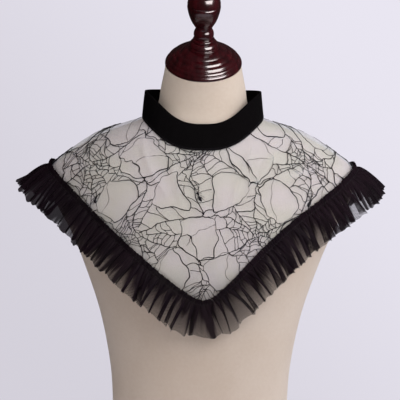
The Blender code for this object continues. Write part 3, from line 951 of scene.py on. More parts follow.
@dataclass(frozen=True)
class YokeOutline:
    """Where the yoke's neckline and hem cross each turn of the body."""

    front_hem: Hem = Hem(0.381, 0.549, 0.193, 0.018, 0.0030, -0.011, 0.003)
    back_hem: Hem = Hem(0.410, 0.549, 0.193, 0.018, 0.0, 0.0, 0.0)
    half_width: float = 0.0775
    front: float = 0.0800
    back: float = 0.0650
    squareness: float = 2.5
    search: Pair = (0.54, 0.63)

    def neckline(self, turn: Array, outset: "float | Array" = 0.0) -> Array:
        """Heights where the form meets the neckline's plan, or one drawn outset larger.

        Args:
            turn: angles round the body.
            outset: how much larger the plan is.

        Returns:
            The heights.
        """
        turn = np.asarray(turn, float)
        is_front = np.sin(turn) < 0
        depth = np.where(is_front, self.front, self.back) + outset
        power = np.where(is_front, self.squareness, 2.0)

        def is_outside(height: Array) -> Array:
            """True where the form is still wider than the plan."""
            x, y, _ = np.moveaxis(BODY.point(turn, height), -1, 0)
            return np.abs(x / (self.half_width + outset)) ** power + np.abs(y / depth) ** power > 1

        low, high = (np.full(turn.shape, limit) for limit in self.search)
        return bisect(low, high, is_outside)

    def hem(self, turn: Array) -> Array:
        """Heights where the form meets the hem's line.

        Args:
            turn: angles round the body.

        Returns:
            The heights.
        """
        turn = np.asarray(turn, float)
        is_front = np.sin(turn) < 0

        def is_under(height: Array) -> Array:
            """True where a height is still under the hem's line."""
            x = BODY.point(turn, height)[..., 0]
            return height < np.where(is_front, self.front_hem.line(x), self.back_hem.line(x))

        lowest = np.where(is_front, self.front_hem.point_height, self.back_hem.point_height)
        return bisect(lowest - 0.02, np.full(turn.shape, self.front_hem.shoulder_height + 0.02), is_under)


OUTLINE = YokeOutline()


# --- dress form

@dataclass
class DressForm:
    """The padded torso under its jersey cover."""

    sides: int = 176
    rings: int = 150
    neck_cut_tilt: float = radians(28)
    neck_cut_height: float = 0.677
    slant_start: float = 0.600
    rim_radius: float = 0.0060  # rounding where the side turns under the base

    def slanted(self, turn: Array, level: Array) -> Array:
        """Heights on rings that are level low down and end in the neck's slanted cut.

        Args:
            turn: angles round the body.
            level: heights of the rings before they slant.

        Returns:
            The heights.
        """
        share = np.clip((level - self.slant_start) / (self.neck_cut_height - self.slant_start), 0, 1)
        middle = BODY.section(level)[1]
        rise = tan(self.neck_cut_tilt) * share
        height = level.copy()
        for _ in range(12):
            height = level + rise * (BODY.point(turn, height, False)[..., 1] - middle)
        return height

    def build(self) -> Piece:
        """Make the torso's skin: rings up the body, a rounded rim and a flat base.

        Returns:
            The piece.
        """
        turns = np.linspace(0, TAU, self.sides, endpoint=False)
        levels = np.linspace(self.rim_radius, self.neck_cut_height, self.rings)
        turn, level = np.meshgrid(turns, levels)
        skin = BODY.point(turn, self.slanted(turn, level), False)
        rim = []
        for angle in np.linspace(0, pi / 2, 6)[:-1]:
            inset = self.rim_radius * (1 - sin(angle))
            ring = BODY.point(turns, np.zeros(self.sides), False)
            ring[:, :2] -= unit(ring[:, :2]) * inset
            ring[:, 2] = self.rim_radius * (1 - cos(angle))
            rim.append(ring)
        points = np.concatenate([np.stack(rim), skin])
        closed = np.concatenate([points, points[:, :1]], axis=1)
        across = np.linspace(-1, 1, self.sides + 1)[None, :] * np.array(
            [run_lengths(ring)[-1] / 2 for ring in closed])[:, None]
        up = run_lengths(points[:, self.sides // 4])[:, None] + 0 * across
        mesh = grid_mesh("form_jersey", points, np.stack([across, up], -1), closed=True, ends=True)
        mesh.set_sharp_from_angle(angle=radians(50))
        piece = link("form_jersey", mesh, Jersey().build())
        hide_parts("dress_form")
        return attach(piece, "root")


@dataclass
class TurnedCap:
    """The stepped wooden cap on the neck cut, and the knob that stands on it.

    A profile's point is its radius and its height above the cap's foot.
    """

    form: DressForm
    ring_swell: float = 0.0011  # how far a ring's face bulges between two grooves
    stand_off: float = 0.0003
    rings: "tuple[Pair, ...]" = (
        (0.0497, 0.0000), (0.0472, 0.0048), (0.0430, 0.0092), (0.0372, 0.0134), (0.0300, 0.0176))
    collet: "tuple[Pair, ...]" = (
        (0.0192, 0.0232), (0.0197, 0.0246), (0.0180, 0.0258), (0.0186, 0.0282), (0.0166, 0.0312),
        (0.0136, 0.0330))
    knob: "tuple[Pair, ...]" = (
        (0.0132, 0.0333), (0.0142, 0.0345), (0.0136, 0.0360), (0.0112, 0.0372), (0.0126, 0.0400),
        (0.0130, 0.0430), (0.0124, 0.0465), (0.0104, 0.0510), (0.0118, 0.0545), (0.0158, 0.0615),
        (0.0190, 0.0700), (0.0210, 0.0785), (0.0213, 0.0830), (0.0204, 0.0846), (0.0212, 0.0862),
        (0.0200, 0.0920), (0.0170, 0.0975), (0.0112, 0.1010), (0.0052, 0.1024))

    def stand(self) -> Matrix:
        """The place of the cap's own frame on the slanted neck cut."""
        middle = float(BODY.section(np.array(self.form.neck_cut_height))[1])
        tilt = Matrix.Rotation(self.form.neck_cut_tilt, 4, "X")
        foot = Vector((0, middle, self.form.neck_cut_height))
        return Matrix.Translation(foot + tilt.to_3x3() @ Vector((0, 0, self.stand_off))) @ tilt

    def cap_profile(self) -> Array:
        """Radius and height along the cap: a dome of soft steps, then disc and bead.

        Returns:
            An array (count, 2).
        """
        outline = [np.zeros(2)]
        steps = np.array((*self.rings, self.collet[0]))
        shares = np.linspace(0, 0.96, 13)
        for low, high in zip(steps, steps[1:]):
            chord = high - low
            out = np.array([chord[1], -chord[0]]) * min(0.16, self.ring_swell / np.linalg.norm(chord))
            outline += [low + chord * share + out * 4 * share * (1 - share) for share in shares]
        top = smooth_path(self.collet, 5)
        return np.array([*outline, *top, (0.0, self.collet[-1][1])])

    def knob_profile(self) -> Array:
        """Radius and height along the knob, smooth except at its grooves."""
        line = smooth_path(self.knob, 6)
        return np.array([(0.0, self.knob[0][1]), *line, (0.0, self.knob[-1][1] + 0.0002)])

    def turn_piece(self, name: str, profile: Array, node: str, wood: Material,
                   tree: LatheTree) -> Piece:
        """Spin a profile, stand it on the neck and let it replace its node.

        Args:
            name: the piece's name.
            profile: radius and height along it.
            node: the node that it replaces.
            wood: its material.
            tree: the tree that turns it.

        Returns:
            The piece.
        """
        line = np.stack([profile[:, 0], 0 * profile[:, 0], profile[:, 1]], axis=1)
        guide = guide_lines(name + "_profile", [Strand(line)])
        piece = tree.grow(guide, name, wood)
        piece.data.transform(self.stand())
        piece.data.update()
        face_out_closed(piece.data)
        piece.data.set_sharp_from_angle(angle=radians(55))
        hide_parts(node)
        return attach(piece, "root")

    def build(self) -> "list[Piece]":
        """Make the cap and the knob."""
        wood, tree = Lacquer().build(), LatheTree()
        return [self.turn_piece("wood_cap", self.cap_profile(), "neck_cap", wood, tree),
                self.turn_piece("wood_finial", self.knob_profile(), "cap_finial", wood, tree)]


def face_out_closed(mesh: Mesh) -> None:
    """Turn the faces of a closed mesh outwards, whatever its making left them as."""
    bm = bmesh.new()
    bm.from_mesh(mesh)
    bmesh.ops.recalc_face_normals(bm, faces=bm.faces)
    bm.to_mesh(mesh)
    bm.free()


# --- lace

class Side(Enum):
    """The face of the body that a flat piece of lace lies on."""

    FRONT = -pi / 2
    BACK = pi / 2


@dataclass
class FlatLace:
    """Carries points of the flat lace onto one face of the body.

    A flat point is (u, v): u across from the centre line, positive towards the
    wearer's left, and v down from the neck's side, both in metres.
    """

    side: Side
    top: float = 0.600  # height on the centre line where v is 0
    bow: float = 0.90  # the rows of the lace bow down to the sides, per metre
    steps: int = 181

    def centre_line(self, count: int) -> "tuple[Array, Array]":
        """Heights up the centre line, and how far above v = 0 each one lies along it."""
        heights = np.linspace(*LACE_HEIGHTS, count)
        lengths = run_lengths(BODY.point(np.full(count, self.side.value), heights))
        return heights, lengths - np.interp(self.top, heights, lengths)

    def height(self, v: Array) -> Array:
        """Heights for lengths down the centre line."""
        heights, above = self.centre_line(561)
        return np.interp(-v, above, heights)

    def carry(self, flat: Array) -> "tuple[Array, Array, Array]":
        """Turns and heights of flat points.

        Args:
            flat: an array (count, 2) of flat points.

        Returns:
            Turns, heights, and True for each point that still lies on this face.
        """
        across = flat[:, 0]
        height = self.height(flat[:, 1] + self.bow * across ** 2)
        quarter = np.linspace(0, pi / 2, self.steps)
        ring = BODY.point(self.side.value + quarter[None, :], height[:, None])
        lengths = np.cumsum(np.linalg.norm(np.diff(ring, axis=1), axis=2), axis=1)
        lengths = np.concatenate([np.zeros((len(flat), 1)), lengths], axis=1)
        wanted = np.abs(across)
        turned = np.array([np.interp(w, row, quarter) for w, row in zip(wanted, lengths)])
        way = np.sign(across) * (1 if self.side is Side.FRONT else -1)
        return self.side.value + way * turned, height, wanted < lengths[:, -1]


@dataclass
class Cell:
    """An opening between two webs, with a closed, slightly cornered edge."""

    middle: Array
    joints: "list[Array]"  # the two points where the cell's ends meet others
    edge: Array
    is_level: bool

    @classmethod
    def grow(cls, middle: Array, half: Pair, joints: "list[Array]", is_level: bool,
             rng: Random) -> "Cell":
        """Make an uneven egg that is drawn out towards its two joints.

        Args:
            middle: its middle, in flat coordinates.
            half: half its size across and down.
            joints: the two joints at its ends.
            is_level: True for a cell between two webs of one row.
            rng: source of the small irregularities.

        Returns:
            The cell.
        """
        middle = middle + rng.uniform(-0.0025, 0.0025, 2)
        count, steps = 7, 12
        knots = (np.arange(count) + rng.uniform(-0.32, 0.32, count)) * TAU / count
        sizes = rng.uniform(0.86, 1.10, count)
        corners = (sizes * np.array([np.cos(knots), np.sin(knots)])).T
        corners = np.concatenate([corners, corners[:1]])
        share = np.linspace(0, 1, steps + 1)[:-1, None]
        straight = np.concatenate([a + (b - a) * share for a, b in zip(corners, corners[1:])])
        around = np.concatenate([corners[-3:-1], corners, corners[1:3]])
        rounded = smooth_path(around, steps)[2 * steps:-2 * steps - 1]
        edge = (rounded * 0.62 + straight * 0.38) * np.array(half)
        for joint in joints:
            reach = np.linalg.norm(joint - middle)
            aim = (joint - middle) / reach
            facing = np.maximum(unit(edge) @ aim, 0.0) ** 6
            drawn = min(0.90 * reach / np.max(edge @ aim), 1.30)
            edge = edge * (1 + (drawn - 1) * facing)[:, None]
        edge = middle + edge
        return cls(middle, joints, np.concatenate([edge, edge[:1]]), is_level)

    def is_inside(self, points: Array) -> Array:
        """True for points inside the edge."""
        edge, offset = self.edge[:-1] - self.middle, points - self.middle
        angles = np.arctan2(edge[:, 1], edge[:, 0])
        order = np.argsort(angles)
        limit = np.interp(np.arctan2(offset[:, 1], offset[:, 0]), angles[order],
                          np.linalg.norm(edge, axis=1)[order], period=TAU)
        return np.linalg.norm(offset, axis=1) < limit

    def edge_towards(self, aim: Pair) -> Array:
        """The edge's point furthest along a direction."""
        return self.edge[int(np.argmax((self.edge - self.middle) @ np.array(aim)))]

    def strands(self, design: "WebDesign", rng: Random) -> "list[Strand]":
        """The thread round the cell, heavy on one side, and the threads across it.

        Args:
            design: gives the threads' radii.
            rng: source of the small irregularities.

        Returns:
            The cell's strands.
        """
        turn = np.linspace(0, TAU, len(self.edge))
        weight = (0.80 + 0.30 * np.sin(turn + rng.uniform(0, TAU))
                  + 0.12 * np.sin(turn * 3 + rng.uniform(0, TAU)))
        found = [Strand(self.edge, design.cord * weight)]
        if self.is_level:
            low = max(self.joints, key=lambda joint: joint[1])
            fork = self.middle + np.array([-0.008, 0.010]) + rng.uniform(-0.003, 0.003, 2)
            bough = smooth_path([self.edge_towards((-1.0, 0.1)), fork, low], 12)
            swell = 0.75 + 0.65 * np.exp(-(np.linspace(-1, 1, len(bough)) / 0.22) ** 2)
            found.append(Strand(bough, design.cord * swell))
            tip = fork + np.array([rng.uniform(-0.002, 0.003), 0.0115])
            twig = smooth_path([fork, (fork + tip) / 2 + [0.0010, 0.0], tip], 6)
            found.append(Strand(twig, np.linspace(design.cord, 0.00022, len(twig))))
            rise = fork + np.array([0.009, -0.007])
            faint = smooth_path([fork, rise, self.edge_towards((1.0, -0.35))], 14)
            found.append(Strand(faint, design.faint * (1 + 0.6 * np.sin(np.arange(len(faint)) * 1.9))))
        elif rng.uniform() < 0.6:
            side = rng.choice([-1.0, 1.0])
            bow = self.middle + np.array([side * 0.008, rng.uniform(-0.008, 0.008)])
            ends = [self.edge_towards((side * 0.3, -1.0)), bow, self.edge_towards((side * 0.5, 1.0))]
            line = smooth_path(ends, 14)
            found.append(Strand(line, design.faint))
        return found


@dataclass(frozen=True)
class WebDesign:
    """A repeat of spider webs in half-drop rows, with smooth oval cells between them."""

    pitch: float = 0.139  # from one web to the next in its row
    row: float = 0.102  # from one row to the next
    origin: Pair = (-0.006, 0.040)
    level_cell: Pair = (0.0310, 0.0272)
    slant_cell: Pair = (0.0215, 0.0272)
    eye: float = 0.0028  # radius of the small ring at a web's middle
    inner: float = 0.0085  # the spokes between the long ones start here
    ring_radii: "tuple[float, ...]" = (
        0.0062, 0.0105, 0.0149, 0.0194, 0.0240, 0.0290, 0.0345, 0.0410, 0.0485, 0.0565)
    sag: float = 0.11  # how far a ring thread bows in, as a share of its radius
    missing: float = 0.02  # share of ring threads that are left out near the hub
    missing_far: float = 0.30  # and at the web's rim
    warp: float = 0.0034  # how far the whole design is pulled out of true
    wobble: float = 0.00075  # and how far each thread wavers
    cord: float = 0.00057  # radii of the four threads
    spoke_thread: float = 0.00042
    ring_thread: float = 0.00037
    faint: float = 0.00021
    ties: float = 0.45  # share of the gaps between two rings that a short thread divides
    spider_drop: float = 0.052
    seed: int = 11

    def hubs(self, reach: float, depth: float) -> "list[Array]":
        """The webs' middles within reach to the sides and down to depth.

        Args:
            reach: how far to each side.
            depth: how far down.

        Returns:
            The middles, row by row.
        """
        found = []
        for j in range(-1, 4):
            for i in range(-3, 4):
                middle = np.array([self.origin[0] + (i + 0.5 * (j % 2)) * self.pitch,
                                   self.origin[1] + j * self.row])
                if abs(middle[0]) < reach and middle[1] < depth:
                    found.append(middle)
        return found

    def strands(self, reach: float, depth: float, seed: int = 0) -> "list[Strand]":
        """All threads of the design over one piece of lace.

        Args:
            reach: how far it goes to each side of the centre line.
            depth: how far down it goes.
            seed: changes the small irregularities from piece to piece.

        Returns:
            Strands in flat coordinates.
        """
        rng = np.random.default_rng(self.seed + seed)
        half, down = self.pitch / 2, self.row
        cells, joints, found = [], {}, []
        for hub in self.hubs(reach + self.pitch, depth + self.row):
            for offset in ((half, 0.0), (half / 2, down / 2), (-half / 2, down / 2)):
                is_level = offset[1] == 0
                length = np.linalg.norm(offset)
                ends = [self.joint(hub + np.array(corner), joints, rng) for corner in self.corners()
                        if np.dot(corner, offset) > 0.6 * np.linalg.norm(corner) * length]
                size = self.level_cell if is_level else self.slant_cell
                cells.append(Cell.grow(hub + np.array(offset), size, ends[:2], is_level, rng))
                found += cells[-1].strands(self, rng)
        for hub in self.hubs(reach + half, depth + down / 2):
            near = [c for c in cells if np.linalg.norm(c.middle - hub) < self.pitch * 0.75]
            found += self.web(hub, near, joints, rng)
            found += self.spider(hub, rng)
        for joint in joints.values():
            knot = joint + np.array([[-0.0011, 0.0002], [0.0, -0.0002], [0.0011, 0.0003]])
            found.append(Strand(knot, np.array([0.0005, 0.00115, 0.0005])))
            for cell in sorted(cells, key=lambda c: np.linalg.norm(c.middle - joint))[:3]:
                foot = cell.edge[np.argmin(np.linalg.norm(cell.edge - joint, axis=1))]
                side = np.array([-(foot - joint)[1], (foot - joint)[0]]) * rng.uniform(-0.3, 0.3)
                line = smooth_path([joint, (joint + foot) / 2 + side, foot], 4)
                found.append(Strand(line, np.linspace(self.cord * 1.15, self.cord * 0.8, len(line))))
        return [Strand(self.pulled(strand.points), strand.radii) for strand in found]

    def corners(self) -> "list[Pair]":
        """The six points round a web where three webs meet, from the web's middle."""
        half, third = self.pitch / 2, self.row / 3
        return [(half, third), (0.0, 2 * third), (-half, third), (-half, -third), (0.0, -2 * third),
                (half, -third)]

    @staticmethod
    def joint(place: Array, joints: "dict[int, Array]", rng: Random) -> Array:
        """The shared joint near a place, added with a small shift if it is new."""
        for known in joints.values():
            if np.linalg.norm(known - place) < 0.015:
                return known
        joints[len(joints)] = place + rng.uniform(-0.006, 0.006, 2)
        return joints[len(joints) - 1]

    def pulled(self, points: Array) -> Array:
        """Points moved by soft waves, large and small, that pull the design out of true.

        Args:
            points: flat points.

        Returns:
            The moved points.
        """
        rng = np.random.default_rng(self.seed)
        moved = points.copy()
        for size, length, count in ((self.warp, 0.085, 5), (self.wobble, 0.017, 6)):
            for _ in range(count):
                heading, phase, push = rng.uniform(0, TAU, 3)
                wave = np.array([cos(heading), sin(heading)]) * TAU / (length * rng.uniform(0.7, 1.4))
                aim = np.array([cos(push), sin(push)]) * size * 2 / sqrt(count)
                moved += np.sin(points @ wave + phase)[:, None] * aim
        return moved

    def web(self, hub: Array, cells: "list[Cell]", joints: "dict[int, Array]", rng: Random) -> "list[Strand]":
        """Spokes round one web's middle, and the ring threads that hang between them.

        Args:
            hub: the web's middle.
            cells: the cells round it, where its threads stop.
            joints: points between three webs where long spokes meet, found or added here.
            rng: source of the small irregularities.

        Returns:
            The web's strands.
        """
        corners = [np.array(corner) for corner in self.corners()]
        circle = np.linspace(0, TAU, 17)
        eye = self.eye * (1 + 0.15 * np.sin(circle * 2))[:, None]
        ring = np.stack([np.cos(circle), np.sin(circle)], axis=1)
        found = [Strand(hub + eye * ring, self.ring_thread)]
        spokes, reaches = [], []
        for k, corner in enumerate(corners):
            joint = self.joint(hub + corner, joints, rng)
            beside = corners[(k + 1) % 6]
            turned = np.arctan2(*((corner + beside) / 2)[::-1]) + rng.uniform(-0.12, 0.12)
            aim = hub + 0.075 * np.array([cos(turned), sin(turned)])
            for end, is_long in ((joint, True), (aim, False)):
                bow = rng.uniform(-0.0040, 0.0040)
                start = self.eye if is_long else self.inner
                share = np.linspace(start / np.linalg.norm(end - hub), 1, 64)[:, None]
                side = np.array([-(end - hub)[1], (end - hub)[0]]) / np.linalg.norm(end - hub)
                line = hub + (end - hub) * share + side * bow * np.sin(share * pi * 1.5)
                inside = np.zeros(len(line), bool)
                for cell in cells:
                    inside |= cell.is_inside(line)
                stop = len(line) if is_long or not inside.any() else max(int(np.argmax(inside)) + 1, 6)
                radius = self.spoke_thread * (1.15 if is_long else 0.95)
                found.append(Strand(line[:stop], radius))
                spokes.append(line)
                reaches.append(np.linalg.norm(line[stop - 1] - hub))
        arcs = {}
        for i, radius in enumerate(self.ring_radii):
            for k, line in enumerate(spokes):
                beside = (k + (1 if radius > self.inner else 2)) % len(spokes)
                other = spokes[beside]
                lost = self.missing + (self.missing_far - self.missing) * min(radius / 0.045, 1.0) ** 2
                is_skipped = radius < self.inner and k % 2 == 1
                if is_skipped or radius > max(reaches[k], reaches[beside]) or rng.uniform() < lost:
                    continue
                a, b = (points[np.argmin(np.abs(np.linalg.norm(points - hub, axis=1)
                                                - radius * rng.uniform(0.84, 1.16)))]
                        for points in (line, other))
                sag = self.sag * rng.uniform(0.2, 1.7) if radius > self.inner else -0.12
                middle = (a + b) / 2
                middle = middle + (hub - middle) * sag
                share = np.linspace(0, 1, 15)[:, None]
                arc = (1 - share) ** 2 * a + 2 * share * (1 - share) * middle + share ** 2 * b
                arcs[i, k] = arc
                found += self.outside(arc, cells)
        for (i, k), arc in arcs.items():
            if i >= 2 and (i + 1, k) in arcs and rng.uniform() < self.ties:
                start, end = arc[int(rng.integers(5, 10))], arcs[i + 1, k][int(rng.integers(5, 10))]
                found += self.outside(start + (end - start) * np.linspace(0, 1, 6)[:, None], cells)
        return found

    def outside(self, line: Array, cells: "list[Cell]") -> "list[Strand]":
        """The parts of a ring thread before and after the cells that it runs into.

        Args:
            line: the ring thread's points.
            cells: the cells.

        Returns:
            No, one or two strands.
        """
        count = len(line)
        inside = np.zeros(count, bool)
        for cell in cells:
            inside |= cell.is_inside(line)
        left = int(np.argmax(inside)) if inside.any() else count
        right = count - int(np.argmax(inside[::-1])) if inside.any() else count
        found = []
        for part in (line[:left], line[right:]):
            knot = np.abs(np.linspace(-1, 1, max(len(part), 1))) ** 4
            if len(part) > 1:
                found.append(Strand(part, self.ring_thread * (0.9 + 0.6 * knot)))
        return found

    def spider(self, hub: Array, rng: Random) -> "list[Strand]":
        """A small spider on its own thread under a web: body, head and eight legs.

        Args:
            hub: the web's middle.
            rng: source of its lean.

        Returns:
            The spider's strands.
        """
        foot = hub + np.array([0.005, self.spider_drop])
        lean = rng.uniform(-0.15, 0.15)
        down = np.array([sin(lean), cos(lean)])
        side = np.array([down[1], -down[0]])
        hang = smooth_path([hub + [0.002, 0.030], hub + [0.0065, 0.044], foot - down * 0.005], 8)
        found = [Strand(hang, self.ring_thread)]
        turns = np.linspace(0, TAU, 21)
        loop = (foot - down * 0.0110 + np.outer(np.cos(turns), down) * 0.0046
                + np.outer(np.sin(turns), side) * 0.0036)
        found.append(Strand(loop, self.ring_thread))
        share = np.linspace(0, 1, 13)
        body = foot + np.outer(share * 0.0098 - 0.0048, down)
        swell = 0.00030 + 0.00100 * np.sin(pi * np.clip(share / 0.36, 0, 1)) + 0.00180 * np.sin(
            pi * np.clip((share - 0.36) / 0.64, 0, 1))
        found.append(Strand(body, swell))
        for way in (-1, 1):
            legs = ((-0.0040, 0.0026), (-0.0014, 0.0036), (0.0016, 0.0035), (0.0046, 0.0024))
            for k, (rise, out) in enumerate(legs):
                root = foot + down * (-0.0028 + 0.0010 * k)
                knee = root + side * way * out * 0.55 + down * (rise * 0.25 - 0.0012)
                tip = root + side * way * out + down * rise
                leg = smooth_path([root, knee, tip], 4)
                found.append(Strand(leg, np.linspace(0.00030, 0.00016, len(leg))))
        return found


@dataclass(frozen=True)
class Crease:
    """A soft ridge or trough in the net: where it lies flat, how long, wide and high."""

    across: float
    down: float
    heading: float  # degrees; 0 runs across, 90 runs down
    length: float
    width: float
    rise: float


@dataclass(frozen=True)
class Panel:
    """One cut piece of the yoke, between two turns of the body."""

    name: str
    node: str
    side: Side
    first: float
    last: float
    columns: int
    first_gap: float
    last_gap: float
    cut: Pair  # width and length of the cloth it was cut from
    cut_area: float
    seed: int


@dataclass
class LaceYoke:
    """The sheer yoke: three panels of fine net and the web threads on them."""

    rows: int = 72
    seam: float = 0.0005  # room between two panels on the shoulder
    opening: float = 0.0012  # and at the centre back
    reach: float = 0.25  # the webs are drawn this far to each side
    depth: float = 0.26  # and down, then cut off at the panel's edges
    thread_lift: float = 0.00030  # off the net
    side_margin: float = 0.004  # threads end this angle before a panel's sides
    edge_margin: float = 0.001  # and run this far past its neckline and hem
    creases: "tuple[Crease, ...]" = (
        Crease(-0.070, 0.056, 62, 0.070, 0.0050, 0.0018),
        Crease(-0.034, 0.078, 78, 0.060, 0.0042, 0.0012),
        Crease(0.050, 0.068, 112, 0.075, 0.0050, 0.0016),
        Crease(0.090, 0.052, 128, 0.060, 0.0055, 0.0018),
        Crease(-0.150, 0.052, 18, 0.080, 0.0060, 0.0018),
        Crease(0.150, 0.050, 160, 0.075, 0.0060, 0.0016),
        Crease(-0.118, 0.110, 40, 0.060, 0.0060, -0.0005),
        Crease(0.020, 0.150, 95, 0.080, 0.0070, 0.0011),
        Crease(-0.020, 0.190, 84, 0.050, 0.0060, -0.0004),
    )
    bridge: float = 0.0030  # how far the net stands off the hollow by the neck, at the sides
    bridge_heights: Pair = (0.552, 0.608)

    def panels(self) -> "tuple[Panel, ...]":
        """The front and the two halves of the back.

        Returns:
            The three panels.
        """
        seam, gap = self.seam, self.opening
        return (
            Panel("yoke_front_net", "yoke_front", Side.FRONT, -pi, 0.0, 264, seam, seam,
                  (0.470, 0.225), 0.0585, 0),
            Panel("yoke_back_left_net", "yoke_back_left", Side.BACK, 0.0, pi / 2, 132, seam, gap,
                  (0.235, 0.200), 0.0265, 1),
            Panel("yoke_back_right_net", "yoke_back_right", Side.BACK, pi / 2, pi, 132, gap, seam,
                  (0.235, 0.200), 0.0265, 2),
        )

    def lift(self, flat: Array, turn: Array, height: Array) -> Array:
        """How far the net stands off the form.

        Args:
            flat: flat points, an array (count, 2).
            turn: their turns.
            height: their heights.

        Returns:
            The distance at each point.
        """
        low, high = self.bridge_heights
        span = np.sin(pi * np.clip((height - low) / (high - low), 0, 1)) ** 2
        total = NET_LIFT + self.bridge * span * np.exp(-((1 - np.abs(np.cos(turn))) / 0.05) ** 2)
        for crease in self.creases:
            turn = radians(crease.heading)
            offset = flat - np.array([crease.across, crease.down])
            along = offset @ np.array([cos(turn), sin(turn)])
            beside = offset @ np.array([-sin(turn), cos(turn)]) + 0.12 * along ** 2 / crease.length
            total += crease.rise * np.exp(-(beside / crease.width) ** 2 - (along / crease.length * 1.6) ** 4)
        return total

    def net(self, panel: Panel, material: Material) -> Piece:
        """The fine net of one panel.

        Args:
            panel: the panel.
            material: its material.

        Returns:
            The piece.
        """
        turns = np.linspace(panel.first, panel.last, panel.columns + 1)
        top, bottom = OUTLINE.neckline(turns), OUTLINE.hem(turns)
        share = np.linspace(0, 1, self.rows + 1)[:, None]
        height = top + (bottom - top) * share
        turn = np.broadcast_to(turns, height.shape).copy()
        width, _, depth, _ = BODY.section(height)
        ends = ((0, 1, panel.first_gap, panel.first), (-1, -1, panel.last_gap, panel.last))
        for column, way, gap, end in ends:
            radius = depth if abs(cos(end)) > 0.5 else width
            turn[:, column] += way * np.arcsin(gap / 2 / radius[:, column])
        surface = BODY.point(turn, height)
        middle = int(np.argmin(np.abs(turns - panel.side.value)))
        across = np.cumsum(np.linalg.norm(np.diff(surface, axis=1, prepend=surface[:, :1]), axis=2), axis=1)
        across = across - across[:, middle:middle + 1]
        if panel.side is Side.BACK:
            across = -across
        lace = FlatLace(panel.side)
        down = -np.interp(height, *lace.centre_line(281))
        flat = np.stack([across, down - lace.bow * across ** 2], axis=-1)
        lift = self.lift(flat.reshape(-1, 2), turn.ravel(), height.ravel()).reshape(height.shape)
        points = surface + BODY.normal(turn, height) * lift[..., None]
        mesh = grid_mesh(panel.name, points, np.stack([across, down], -1))
        piece = link(panel.name, mesh, material)
        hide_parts(panel.node)
        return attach(piece, "root")

    def on_body(self, panel: Panel, strands: "list[Strand]") -> "list[Strand]":
        """Carry flat strands onto a panel and cut them off at its edges.

        Args:
            panel: the panel.
            strands: strands in flat coordinates.

        Returns:
            The strands on the body.
        """
        lace = FlatLace(panel.side)
        flat = np.concatenate([s.points for s in strands])
        radii = np.concatenate([s.radii for s in strands])
        turn, height, on_face = lace.carry(flat)
        table = np.linspace(-pi, pi, 1441)
        top = np.interp(turn, table, OUTLINE.neckline(table))
        bottom = np.interp(turn, table, OUTLINE.hem(table))
        keep = (on_face & (turn > panel.first + self.side_margin) & (turn < panel.last - self.side_margin)
                & (height < top + self.edge_margin) & (height > bottom - self.edge_margin))
        lift = self.lift(flat, turn, height) + self.thread_lift
        points = BODY.cloth(turn, height, lift)
        found, start = [], 0
        for strand in strands:
            end = start + len(strand.points)
            inside = [i for i in range(start, end) if keep[i]]
            runs = np.split(inside, np.where(np.diff(inside) > 1)[0] + 1) if inside else []
            found += [Strand(points[run], radii[run]) for run in runs if len(run) > 1]
            start = end
        return found

    def build(self) -> "list[Piece]":
        """Make the three panels and their threads.

        Returns:
            Net and web of each panel.
        """
        net, thread = LACE_NET.build(), Thread("web_thread").build()
        design, tree, pieces = WebDesign(), ThreadTree(), []
        for panel in self.panels():
            cloth = self.net(panel, net)
            flat = design.strands(self.reach, self.depth, 0 if panel.side is Side.FRONT else 7)
            strands = self.on_body(panel, flat)
            name = panel.name.replace("_net", "_web")
            web = tree.grow(guide_lines(name + "_guide", strands), name, thread)
            drop(web.data, "radius_m")
            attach(web, "root")
            pieces += [cloth, web]
        return pieces


# --- band

